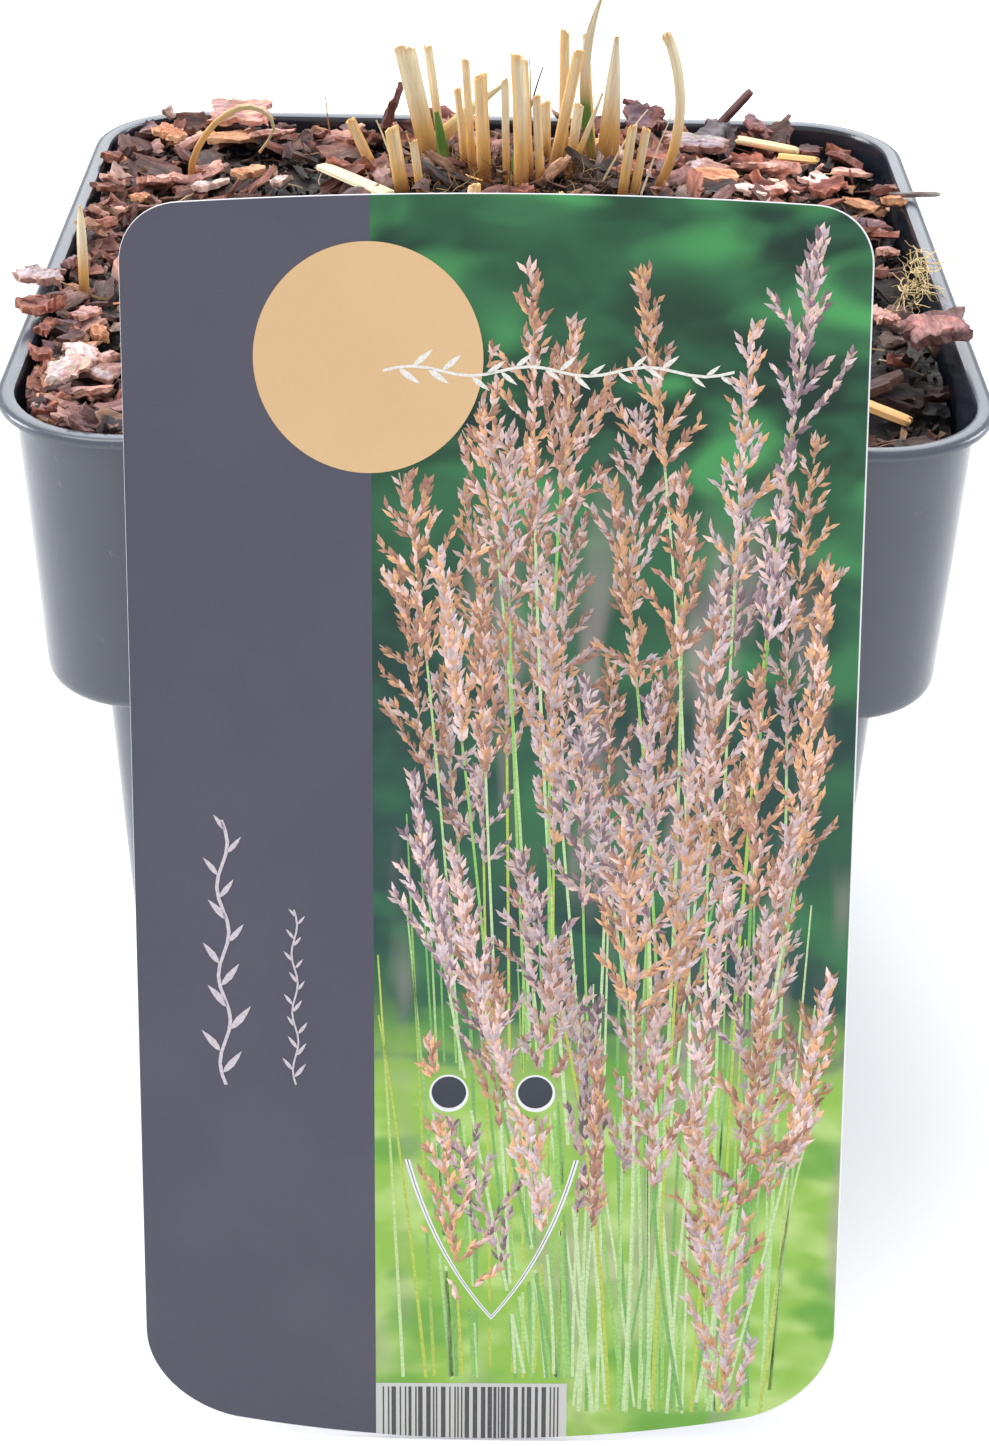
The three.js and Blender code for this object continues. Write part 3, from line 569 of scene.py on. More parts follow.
def throw(heap, body, spin, spot, luck, kind, dark=1.0, free=False):
    """Turns a body, sets it down at the spot, inside the pot unless it is free, and heaps it up.
    Whatever lies down in the hollows is darkened as painted shade, and the chips round the pale
    spot are paler."""
    points, faces, sides = body
    offset = Vector((luck.uniform(-500, 500), luck.uniform(-500, 500), luck.uniform(-500, 500)))
    grains = [tuple(point + offset) for point in points]
    placed = [spin @ point + spot for point in points]
    if not free:
        placed = [kept_inside(point) for point in placed]
    colours = []
    # Chips round this spot are made up to two fifths paler
    x, y, reach = pale_chip_spot
    dark *= 1 + 0.4 * math.exp(-((spot.x - x) ** 2 + (spot.y - y) ** 2) / reach ** 2)
    for side, point in zip(sides, placed):
        # Painted shade: the further a point lies below the bed's level, the darker it is painted
        above = (point.z - mulch_height(point.x, point.y) + shade_black_below) / (shade_black_below + shade_clear_above)
        shade = dark * (0.08 + 0.92 * clamped(above)) * luck.uniform(0.9, 1.1)
        colours.append(shaded(kind[side], shade))
    heap_up(heap, placed, faces, colours, grains)


def corners_between(corners, cut=((0, 1), (0, 1))):
    """place(s, t) over one part of a four-cornered flake; cut is the part's range of s and of t."""
    (s0, s1), (t0, t1) = cut

    def place(s, t):
        u = s0 + (s1 - s0) * s
        v = t0 + (t1 - t0) * t
        near = corners[2] * (1 - u) + corners[3] * u
        far = corners[1] * (1 - u) + corners[0] * u
        return near * (1 - v) + far * v

    return place


def flake_corners(length, width, thick, draw):
    """The four corners of a flake, with its bend as their height."""
    bend = thick * draw((-0.5, 0.5))
    corners = []
    for k in range(4):
        angle = math.pi / 2 * (k + 0.5 + draw((-0.25, 0.25)))
        away = draw((1.05, 1.4)) / 2
        x = length * away * math.cos(angle)
        corners.append(Vector((x, width * away * math.sin(angle), bend * (2 * x / length) ** 2)))
    return corners


def chip(length, width, thick, luck, columns, rows, rough):
    """One whole chip with corners of its own."""
    corners = flake_corners(length, width, thick, draws(luck.randrange(10**6)))
    return slab(corners_between(corners), thick, luck, columns, rows, rough)


def split_flake(luck):
    """How a flake has split: ranges of s along it and t across it."""
    pick = luck.random()
    middle = luck.uniform(0.35, 0.65)
    if pick < 0.16:
        return [((0, 1), (0, 1))]
    if pick < 0.58:
        return [((0, 1), (0, middle)), ((luck.uniform(0, 0.2), 1), (middle, 1))]
    if pick < 0.8:
        return [((0, middle), (0, 1)), ((middle, 1), (0, 0.55)), ((middle, 1), (0.55, 1))]
    return [((0, 0.9), (0, 0.36)), ((0.1, 1), (0.36, 0.68)), ((0, 0.8), (0.68, 1))]


def mulch_chips():
    """The flakes of the bed, one in each cell of a grid, each split into its shards."""
    heap = new_heap()
    draw = draws(2024)
    luck = random.Random(5)
    rows, pitch = 12, 10.2
    middle = (rows - 1) / 2
    for row in range(rows):
        for column in range(rows):
            x = (column - middle + draw((-0.4, 0.4))) * pitch
            y = (row - middle + draw((-0.4, 0.4))) * pitch
            length = draw((9, 15.5))
            width = draw((6, 9.5))
            thick = draw((1.8, 3.4))
            turn = draw((0, 360))
            tilt_x = draw((-28, 28))
            tilt_y = draw((-22, 22))
            z = mulch_height(x, y) + draw((-0.63, 0.27))
            corners = flake_corners(length, width, thick, draw)
            if max(abs(x), abs(y)) > mulch_half - 1.4:
                continue
            # Painted darker in the bare spots: open compost, and round the feet of the stems painted shade
            dark = 0.9 * (1 - 0.86 * bareness(x, y))
            for cut in split_flake(luck):
                kind = bark_kind(luck)
                place = corners_between(corners, cut)
                body = slab(place, thick * luck.uniform(0.32, 0.65), luck, 6, 4, 0.2)
                spin = turned(tilt_x + luck.uniform(-14, 14), tilt_y + luck.uniform(-12, 12),
                              turn + luck.uniform(-10, 10))
                spot = Vector((x, y, z + luck.uniform(-0.5, 0.6)))
                throw(heap, body, spin, spot, luck, kind, dark)
    return heap


# Shards all over the bed and more in its middle: how many, reach to the sides, front and back
# ends, and how far below and above the bed they lie
shard_fields = ((1250, 60.5, -60.5, 60.5, -1.6, 0.9), (800, 46, -60, 12, -0.3, 1.3))


def mulch_shards():
    """Thin shards and splinters between and on the flakes, jumbled and often on edge."""
    heap = new_heap()
    luck = random.Random(6)
    for count, reach, front, back, below, above in shard_fields:
        for _ in range(count):
            x = luck.uniform(-reach, reach)
            y = luck.uniform(front, back)
            bare = bareness(x, y)
            if luck.random() < 0.95 * bare:
                continue
            length = luck.triangular(1.8, 8, 3)
            width = luck.uniform(0.8, 2.6)
            thick = luck.uniform(0.35, 0.9)
            body = chip(length, width, thick, luck, 3, 2, 0.12)
            spin = turned(luck.gauss(0, 34), luck.gauss(0, 24), luck.uniform(0, 360))
            spot = Vector((x, y, mulch_height(x, y) + luck.uniform(below, above)))
            throw(heap, body, spin, spot, luck, bark_kind(luck), 0.86 - 0.7 * bare)
    return heap


def wall_chips():
    """Chips heaped up against the left wall, most of the back wall and the left front corner, some
    of them over the rim."""
    heap = new_heap()
    luck = random.Random(12)
    for number in range(wall_chip_count):
        depth = abs(luck.gauss(0, 2.4))
        over = luck.random() < 0.1
        away = mulch_half - (0.6 if over else 1.0) - depth
        x, y = -away, luck.uniform(-46, 57)
        if number % 4 == 0:
            x, y = luck.uniform(-57, 47), away
        elif number % 4 == 1:
            around = math.radians(luck.uniform(175, 280))
            x = mulch_corner - mulch_half + (mulch_corner - 1 - depth) * math.cos(around)
            y = mulch_corner - mulch_half + (mulch_corner - 1 - depth) * math.sin(around)
            over = False
        length = luck.uniform(3, 7.5)
        thick = luck.uniform(0.7, 1.4)
        body = chip(length, luck.uniform(0.45, 0.8) * length, thick, luck, 6, 4, 0.15)
        spin = turned(luck.gauss(0, 24), luck.gauss(0, 22), luck.uniform(0, 360))
        rise = luck.uniform(0.9, 1.5) if over else -0.5 - luck.uniform(0, 1.9) - 0.3 * depth
        spot = Vector((x, y, pot_height + rise))
        throw(heap, body, spin, spot, luck, bark_kind(luck), 0.9 - 0.6 * luck.random() ** 2, over)
    return heap


# Chips that show one by one: place, length, width, turn, kind, and the height of one on a rim
seen_chips = (
    (-58, 51, 5.5, 3.5, -50, "purple_grey", 0), (-54, 57, 6.5, 4, 15, "red_brown", 0),
    (-50, 57, 4.5, 3, 10, "dark_brown", 0), (-58, 43, 6, 5, 105, "red_brown", 0),
    (-59, 34, 5.5, 3.5, 10, "dark_brown", 0), (-53, 30, 7, 5.5, -25, "pinkish", 0),
    (-55, 24, 4, 4, 105, "orange", 0), (-58, 18, 6, 2.5, 50, "pinkish", 0),
    (-59, 8, 4, 3, -25, "pinkish", 0), (-58, 2, 4, 3.5, 0, "red_brown", 0),
    (-57, -24, 5, 4, 135, "pinkish", 0), (-56, -34, 7, 5.5, 75, "orange", 0),
    (-54, -29, 4.5, 3, 105, "orange", 0), (-53, -37, 6, 4.5, 115, "pinkish", 0),
    (-58, -50, 4, 3, 85, "orange", 0), (-52, -52, 10, 3.5, 25, "purple_grey", 0),
    (-51, -56, 5.5, 3, 15, "red_brown", 0), (-59, -40, 4, 3.5, -30, "red_brown", 0),
    (-45, 30, 8, 3.2, 45, "whitish", 0), (-34, 32, 5.5, 3.5, 70, "whitish", 0),
    (-39, 34, 6, 3.5, 20, "orange", 0), (-25, 54, 5, 4.5, 105, "red_brown", 0),
    (26, 42, 8, 6, -15, "red_brown", 0), (17, 49, 6.5, 3.5, 15, "orange", 0),
    (33, 40, 7, 5, -15, "lilac_grey", 0), (42, 45, 10.5, 4, -40, "pinkish", 0),
    (51, 57, 6, 5, -30, "dark_brown", 0), (57, 46, 6.5, 4.5, -25, "pinkish", 0),
    (52, 36, 7, 5, 20, "red_brown", 0), (50, 40, 5, 4, 135, "whitish", 0),
    (43, 32, 6.5, 5, -15, "pinkish", 0), (39, 31, 6, 4, -15, "whitish", 0),
    (58, 32, 9.5, 3.5, -45, "orange", 0), (57, 23, 7, 4.5, 15, "purple_grey", 0),
    (58, 17, 7, 4, -30, "red_brown", 0), (59, 11, 5.5, 3.5, -15, "pinkish", 0),
    (55, -31, 5, 4, 10, "red_brown", 0), (55, -48, 6, 4.5, 15, "black_brown", 0),
    (20, 30, 5, 4, 30, "red_brown", 0),
    # Bright heap and its neighbours at the left front
    (-55.5, -38.5, 6.5, 4.5, 110, "whitish", 0), (-57.5, -44.5, 5, 3.4, 30, "whitish", 0),
    (-51.5, -42.5, 6, 4, 60, "lilac_grey", 0), (-58.8, -52, 3, 2.4, 80, "whitish", 0),
    (-53.5, -47, 7, 2, 20, "pinkish", 0), (-47, -55.5, 6, 4, 10, "red_brown", 0),
    # Against the lip at the left
    (-61.4, -21, 5, 3, 120, "dark_brown", 0.9), (-61.2, -31, 5.5, 3, 80, "red_brown", 0.7),
    (-61.3, -5.5, 4, 2.5, 60, "purple_grey", 0.6), (-61.3, 40, 5, 2.4, 70, "red_brown", 0.6),
    (-60.8, -38, 4.5, 3, 95, "red_brown", 0.4), (-61, 14, 5, 2.6, 100, "dark_brown", 0.4),
    # Tan heap under the arching blade, and chips on the twig at the right rim
    (-44, 51, 9, 5.5, 25, "orange", 0.5), (-37, 52, 8, 5, -20, "pinkish", 0.9),
    (-50, 50, 6, 3.5, 40, "pinkish", 0.3), (61.2, 27, 4.5, 3, -50, "orange", 0.5),
    (60.2, 29, 5, 3, 10, "dark_brown", 0.9),
    # Upright at the back
    (-18.2, 56, 8.5, 3.4, 0, "dark_brown", 3.5),
)


def mulch_seen_chips():
    """The chips of that list, some of them on a rim and one upright."""
    heap = new_heap()
    luck = random.Random(8)
    for x, y, length, width, turn, kind, lift in seen_chips:
        thick = luck.uniform(0.9, 1.6)
        body = chip(length, width, thick, luck, 8, 5, 0.15)
        upright = lift > 2
        tilt = -75 if upright else luck.gauss(0, 10)
        spin = turned(luck.gauss(0, 11), tilt, turn)
        z = pot_height + lift if lift else mulch_height(x, y) + 0.5 * thick + luck.uniform(0.3, 1.2)
        throw(heap, body, spin, Vector((x, y, z)), luck, faces_of(kind), free=lift > 0)
    return heap


def mulch_crumbs():
    """Crumbs of compost and bark that fill the gaps."""
    heap = new_heap()
    luck = random.Random(7)
    for _ in range(crumb_count):
        x = luck.uniform(-61, 61)
        y = luck.uniform(-61, 61)
        size = luck.uniform(0.35, 1.3)
        corners = [Vector((a * size, b * size * 0.7, 0)) / 2
                   for a, b in ((1, 1), (-1, 1), (-1, -1), (1, -1))]
        body = slab(corners_between(corners), 0.8 * size, luck, 1, 1, 0.2 * size)
        spin = Euler([luck.uniform(0, 6.3) for _ in range(3)]).to_matrix()
        z = mulch_height(x, y) - 1.6 + unevenness(x, y) + luck.uniform(-0.3, 0.9)
        kind = bark_kind(luck)
        throw(heap, body, spin, Vector((x, y, z)), luck, kind, luck.choice((0.12, 0.2, 0.3, 0.7)))
    return heap


def fines_tone(x, y):
    """Slow change of the fines from black to dark red-brown."""
    cloud = max(0.0, noise.noise(Vector((x, y, 30)) / 5.5) + 0.35)
    return 0.3 + 0.8 * cloud * (1 - 0.7 * bareness(x, y))


def mulch_bed():
    """The fines: a crumbly skin over a plain block."""
    heap = new_heap()
    points, colours, grains = heap["points"], heap["colours"], heap["grains"]
    cells = 130
    step = 2 * mulch_half / cells
    for i in range(cells + 1):
        for j in range(cells + 1):
            x = -mulch_half + i * step
            y = -mulch_half + j * step
            lumps = noise.noise(Vector((x, y, 0)) / 1.9) + 0.6 * noise.noise(Vector((x, y, 9)) / 0.9)
            z = mulch_height(x, y) - fines_depth + unevenness(x, y) + 0.75 * lumps
            points.append(kept_inside(Vector((x, y, z))))
            colours.append(shaded(fines_colour, fines_tone(x, y)))
            grains.append((x, y, z))
    squares, loop = grid(cells, cells)
    heap["faces"].extend(squares)
    under = len(points)
    for a in loop:
        points.append(Vector((points[a].x, points[a].y, mulch_bottom)))
        colours.append(colours[a])
        grains.append(grains[a])
    for k, a in enumerate(loop):
        following = (k + 1) % len(loop)
        heap["faces"].append((a, under + k, under + following, loop[following]))
    heap["faces"].append(tuple(under + k for k in reversed(range(len(loop)))))
    return heap


def fibres_group():
    """Fine streaks along a piece's own grain, whose coordinates are in millimetres."""
    group, entry, leave = start_group(
        "fibres",
        [("Grain", "NodeSocketVector", None), ("Stretch", "NodeSocketVector", (0.15, 1.0, 1.0)),
         ("Fineness", "NodeSocketFloat", 2.0), ("Low", "NodeSocketFloat", 0.3),
         ("High", "NodeSocketFloat", 0.7)],
        [("Streak", "NodeSocketFloat"), ("Height", "NodeSocketFloat")])
    drawn = put(group, "ShaderNodeVectorMath", operation="MULTIPLY")
    streaks = put(group, "ShaderNodeTexNoise")
    streaks.inputs["Detail"].default_value = 6.0
    streaks.inputs["Roughness"].default_value = 0.62
    ranged = put(group, "ShaderNodeMapRange", interpolation_type="SMOOTHSTEP")
    for source, target in ((entry.outputs["Grain"], drawn.inputs[0]),
                           (entry.outputs["Stretch"], drawn.inputs[1]),
                           (drawn.outputs[0], streaks.inputs["Vector"]),
                           (entry.outputs["Fineness"], streaks.inputs["Scale"]),
                           (entry.outputs["Low"], ranged.inputs["From Min"]),
                           (entry.outputs["High"], ranged.inputs["From Max"]),
                           (streaks.outputs["Fac"], ranged.inputs["Value"]),
                           (ranged.outputs["Result"], leave.inputs["Streak"]),
                           (streaks.outputs["Fac"], leave.inputs["Height"])):
        group.links.new(source, target)
    return group


fibres = fibres_group()


def fibrous(name, stretch, fineness, shade, light, depth, rough):
    """Material of a fibrous piece: its tint with darker and lighter streaks along the grain."""
    material, tree, shader = start_material(name)
    tint = put(tree, "ShaderNodeAttribute", attribute_name="tint").outputs["Color"]
    grain = put(tree, "ShaderNodeAttribute", attribute_name="grain").outputs["Vector"]
    streak = use_group(tree, fibres, Grain=grain, Stretch=stretch, Fineness=fineness)
    darker = blend_colours(tree, 1.0, tint, shade, "MULTIPLY")
    lighter = blend_colours(tree, 1.0, tint, light, "MULTIPLY")
    streaked = blend_colours(tree, streak["Streak"], darker, lighter)
    spots = mottling(tree, grain, 1.6 * fineness, 5.0, 0.52, 0.66)
    spotted = blend_colours(tree, spread(tree, spots, 0.0, 0.55), streaked, darker)
    tree.links.new(spotted, shader.inputs["Base Color"])
    roughness = spread(tree, streak["Height"], rough[1], rough[0], 0.3, 0.7)
    tree.links.new(roughness, shader.inputs["Roughness"])
    add_bump(tree, shader, streak["Height"], 0.8, depth)
    return material


bark = fibrous("pine_bark", (0.25, 1.0, 1.0), 1.1, (0.50, 0.45, 0.46), (1.25, 1.22, 1.22), 0.0004,
               (0.42, 0.75))

for heap_name, heap, crease in (
        ("mulch_fines", mulch_bed(), 60), ("mulch_flakes", mulch_chips(), 32),
        ("mulch_chips", mulch_seen_chips(), 32), ("mulch_wall_chips", wall_chips(), 32),
        ("mulch_shards", mulch_shards(), 32), ("mulch_crumbs", mulch_crumbs(), 50)):
    piece = mesh_object(heap_name, heap["points"], heap["faces"], crease, heap["colours"], heap["grains"])
    piece.data.materials.append(bark)
    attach(piece, "root")
    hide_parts("bark_mulch")

# Loose flakes of bark
# Eleven larger flakes lie on the bed or over the rim. Each is one torn piece, rough on its outer
# face and fibrous inside.
# Name, size along, across and up, turn, tilt, seed of its corners, and which kind of bark
loose_flakes = (
    ("bark_flake_1", (10, 7.4, 1.8), 82, (4, 4), 11, "lilac_grey"),
    ("bark_flake_2", (9, 5.5, 2.2), 72, (-6, 10), 12, "red_brown"),
    ("bark_flake_3", (8.5, 5, 1.8), 40, (10, -8), 13, "whitish"),
    ("bark_flake_4", (12, 8.5, 2), 8, (12, -2), 14, "pinkish"),
    ("bark_flake_5", (8, 5, 2), -30, (-8, 8), 15, "orange"),
    ("bark_flake_6", (12.5, 9, 3.2), 95, (-17, -4), 16, "rose"),
    ("bark_flake_7", (6.5, 4.5, 1.8), 30, (8, 14), 17, "pinkish"),
    ("bark_flake_8", (10, 8, 3.8), -15, (18, 12), 18, "slate"),
    ("bark_flake_9", (9.5, 6.5, 2.6), 35, (26, -16), 19, "dark_brown"),
    ("bark_flake_10", (7, 6.5, 2.6), 5, (34, 4), 20, "purple_grey"),
    ("bark_flake_11", (12, 6.5, 2.2), 10, (8, 6), 21, "lilac_grey"),
)


def centre_of(node_name):
    """Middle of a CAD node's box, in millimetres."""
    low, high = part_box(node_name)
    return (low + high) / 2 / MM


def centred(points, middle):
    """The points, moved so that the middle of their box comes to the given place."""
    low = Vector([min(point[axis] for point in points) for axis in range(3)])
    high = Vector([max(point[axis] for point in points) for axis in range(3)])
    return [point - (low + high) / 2 + middle for point in points]


for flake_name, size, turn, tilt, seed, kind_name in loose_flakes:
    luck = random.Random(seed)
    kind = faces_of(kind_name)
    place = corners_between(flake_corners(*size, draws(seed)))
    points, faces, sides = slab(place, 0.7 * size[2], luck, 12, 8, 0.22)
    spin = turned(*tilt, turn)
    colours = [[luck.uniform(0.85, 1.12) * c for c in kind[side]] for side in sides]
    grains = [tuple(point + Vector((100 * seed, 0, 0))) for point in points]
    placed = centred([spin @ point for point in points], centre_of(flake_name))
    piece = mesh_object("loose_" + flake_name, placed, faces, 34, colours, grains)
    piece.data.materials.append(bark)
    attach(piece, "root")
    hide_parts(flake_name)

# Cut stems
# Straw stems of last year's growth, cut off a few centimetres above the mulch. Each is a finely
# ribbed tube, open at its slanted cut, orange-brown at the foot and pale above.
# Place of the foot, length above the mulch, width, lean to the right, lean back, bow and cut slope
stems = (
    ((-5.4, 34.8), 12, 1.2, -6, 0, 0.1, 0.4),
    ((-4.2, 32.9), 16.7, 1.3, -4, 0, 0, -0.3),
    ((-2.3, 30), 14.8, 2.2, -3, 0, 0, 0.5),
    ((3.4, 23), 19.4, 2.3, -3, 0, 0.2, -0.4),
    ((4.7, 26.4), 17.8, 1.4, -4, 0, 0, 0.4),
    ((6.4, 23.6), 13.2, 1.4, -4, 0, 0, 0.2),
    ((7.4, 42), 8.7, 1.8, -1, 0, 0, 0.6),
    ((10.2, 40.2), 20.4, 1.6, -1, 0, 0, -0.5),
    ((8.8, 35), 18.3, 1.9, 10, 0, 0, 0.3),
    ((15, 43.8), 20, 1.2, -5, 0, 0, 0.3),
    ((19, 22.9), 10.4, 1.5, 6, 0, 0, 0.4),
    ((20.8, 23.4), 10.2, 1.4, 8, 0, 0, -0.4),
    ((-14.9, 24.2), 9.4, 2.2, -9, 0, 0, 0.4),
    ((-12, 22.8), 7.3, 1.4, -8, 0, 0, 0.4),
    ((-20, 38.5), 8.4, 1.8, -24, 0, 0, 0.2),
    ((-4, 11), 4.2, 2.1, 6, 0, 0, 0.4),
    ((9, 7.5), 4.8, 2.0, 9, -8, 0, -0.3),
    ((0.5, 3), 6.4, 2.2, -5, -10, 0, 0.3),
    ((12.5, 4), 7.2, 1.7, 12, -12, 0, 0.5),
    ((-9, 3), 7.4, 1.9, -14, -9, 0, -0.4),
    ((5, -2.5), 7.8, 1.6, 3, -16, 0, 0.4),
)
root_length = 12
straw_pale = (1.0, 0.92, 0.69)
straw_warm = (0.84, 0.51, 0.18)
straw_brown = (0.46, 0.21, 0.065)


def middle_line(foot_at, length, lean, back, shares, bow=0.0, hook=0.0, root=root_length):
    """Middle of a stem: its root end, its foot in the mulch, then a point for each share of its
    length."""
    foot = Vector((*foot_at, mulch_height(*foot_at)))
    along = Vector((math.tan(math.radians(lean)), math.tan(math.radians(back)), 1)).normalized()
    line = [foot - root * along, foot]
    for share in shares:
        sideways = 4 * bow * share * (1 - share) + hook * share**4
        line.append(foot + length * share * along + Vector((sideways, 0, 0)))
    return line


def swept(line, section_at, facing=Vector((0, 1, 0))):
    """Rings carried along a line. A section is a list of (across, forward) in millimetres."""
    rings = []
    for i, point in enumerate(line):
        along = (line[min(i + 1, len(line) - 1)] - line[max(i - 1, 0)]).normalized()
        side = facing.cross(along).normalized()
        front = along.cross(side)
        rings.append([point + side * a + front * b for a, b in section_at(i)])
    return rings


def oval(across, forward, shapes):
    """Section with the given halves across and forward; shapes says how full it is at each point."""
    ring = []
    for k, shape in enumerate(shapes):
        angle = 2 * math.pi * k / len(shapes)
        ring.append((across * shape * math.cos(angle), forward * shape * math.sin(angle)))
    return ring


def between(first, second, share):
    """Colour that lies a share of the way from the first to the second."""
    return [a + (b - a) * share for a, b in zip(first, second)]


def straw_tint(share, luck, pale=straw_pale):
    """Brown at the foot, warm just above it, pale further up, and browned at the very cut."""
    if share < 0.25:
        colour = between(straw_brown, straw_warm, max(share, 0) / 0.25)
    elif share < 0.6:
        colour = between(straw_warm, pale, (share - 0.25) / 0.35)
    else:
        colour = pale
    if share > 0.96:
        colour = between(colour, straw_warm, 0.6)
    return shaded(colour, luck.uniform(0.9, 1.08))


stem_shares = (0.06, 0.14, 0.25, 0.38, 0.52, 0.66, 0.8, 0.92, 1.0)
stem_sides = 18


def cut_stem(name, foot_at, length, width, lean, back, bow, slope):
    """One ribbed stem, hollow at its cut, with a few golden stripes."""
    luck = random.Random(name)
    line = middle_line(foot_at, length, lean, back, stem_shares, bow)
    ribs = [1 + luck.uniform(-0.07, 0.07) for _ in range(stem_sides)]

    def section(i):
        swell = width * (1.04 - 0.012 * i) * (1 + 0.02 * math.sin(2.1 * i + width))
        return oval(0.5 * swell, 0.4 * swell, ribs)

    rings = swept(line, section)
    end = line[-1]
    top = rings[-1]
    for point in top:
        point.z += slope * (point.x - end.x) + luck.uniform(-0.12, 0.16)
    shares = [-0.5, 0.0, *stem_shares]
    # The cut: how far in from the wall, how far down, and the share that gives its colour, which is
    # browner further down the open hollow as painted shade
    for inward, down, share in ((0.3, 0.05, 0.97), (0.42, 0.5, 0.5), (0.5, 1.4, 0.1), (0.8, 1.5, 0.0)):
        rings.append([point.lerp(end, inward) - Vector((0, 0, down)) for point in top])
        shares.append(share)
    points, faces = loft(rings)
    # The stem is golden along two opposite flanks: partly the colour of the sheath's edges, partly
    # painted shade where the stem turns away at its sides
    golden_flank_turn = luck.uniform(-0.5, 0.5)
    age = luck.choice((0.0, 0.05, 0.15, 0.35))
    stripes = []
    for k in range(stem_sides):
        golden = age + 0.8 * math.cos(2 * math.pi * k / stem_sides + golden_flank_turn) ** 4
        golden += luck.choice((0, 0.05, 0.2, 0.6))
        stripes.append(between(straw_pale, straw_warm, min(golden, 1)))
    colours = []
    grains = []
    for i, share in enumerate(shares):
        for k in range(stem_sides):
            colours.append(straw_tint(share, luck, stripes[k]))
            angle = 2 * math.pi * k / stem_sides
            grains.append((share * length, 3 * math.cos(angle) + 40 * foot_at[0], 3 * math.sin(angle)))
    piece = mesh_object(name, points, faces, 45, colours, grains)
    piece.data.materials.append(straw)
    return piece


straw = fibrous("dry_straw", (0.06, 1.0, 1.0), 2.4, (0.94, 0.84, 0.66), (1.05, 1.06, 1.08), 0.0002,
                (0.42, 0.6))

for number, (foot_at, length, width, lean, back, bow, slope) in enumerate(stems, 1):
    piece = cut_stem(f"cut_stem_{number}", foot_at, length, width, lean, back, bow, slope)
    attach(piece, "root")
    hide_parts(f"culm_{number}")

# Leaf sheaths and dead blades
# Flat or channelled strips of dry leaf between the stems, cut square or drawn out to a point, a
# dry blade that arches at the back left, and an upright straw at the left rim.
pale_leaf = (1.0, 0.91, 0.70)
white_leaf = (1.0, 0.94, 0.78)
grey_leaf = (0.84, 0.76, 0.60)
# Name and CAD node, foot, length, width, lean, back, cup, bow, hook, turn, root, pointed, tint
blade_rows = (
    ("leaf_sheath_1", (-10.9, 41), 18.4, 3.1, -13, 0, 0.5, 0, 0, 0, 12, False, straw_pale),
    ("leaf_sheath_2", (-9, 44.4), 17.6, 1.3, -8, 2, 0.15, 0, 0, 0, 12, False, pale_leaf),
    ("leaf_sheath_3", (-12.2, 46.6), 17, 2.6, 46, 0, 0.3, 0, 1, 10, 12, True, (0.90, 0.86, 0.58)),
    ("leaf_sheath_4", (1.2, 23.6), 15.7, 1.1, -2, 0, 0.15, 0, 0, 0, 12, False, pale_leaf),
    ("leaf_sheath_5", (11.4, 38), 9.4, 1.5, 6, 0, 0.25, 0, 0, 0, 12, False, pale_leaf),
    ("leaf_sheath_6", (17.3, 41), 20.2, 3.4, 2, 0, 0.45, 0, 0, 0, 12, True, white_leaf),
    ("leaf_sheath_7", (24.9, 28.5), 24.2, 1.5, 0, 0, 0.25, 2.6, 0, 0, 11, False, straw_pale),
    ("leaf_sheath_8", (14.9, 40.6), 26, 1.6, -2, 0, 0.2, -1.3, 1.4, 0, 12, True, grey_leaf),
    ("leaf_sheath_9", (11.8, 34.6), 12.4, 1.1, 19, 0, 0.12, 0, 0, 0, 12, True, pale_leaf),
    ("arching_dry_blade", (-48.7, 36), 16.8, 1.1, 33, 0, 0.12, -2.2, 0, 0, 5, True, (0.66, 0.57, 0.36)),
    ("straw_at_left_rim", (-58.2, -15.5), 13.2, 1.4, 1, 0, 0.25, 0, 0, 0, 5, True, pale_leaf),
)
live_green = (0.10, 0.24, 0.045)
leaf_thick = 0.28
leaf_steps = 10
# How the blade at the back left goes up, over and back: across, and above the rim
arch = ((-48.6, -3), (-48.4, -0.8), (-48.2, 0.9), (-47.3, 3.2), (-46, 5.4), (-44.4, 7.3), (-42.5, 8.8),
        (-40.6, 9.8), (-38.7, 10), (-37, 9.5), (-35.6, 8.3), (-35.2, 6.6), (-36.2, 4.6), (-37.6, 2.8))


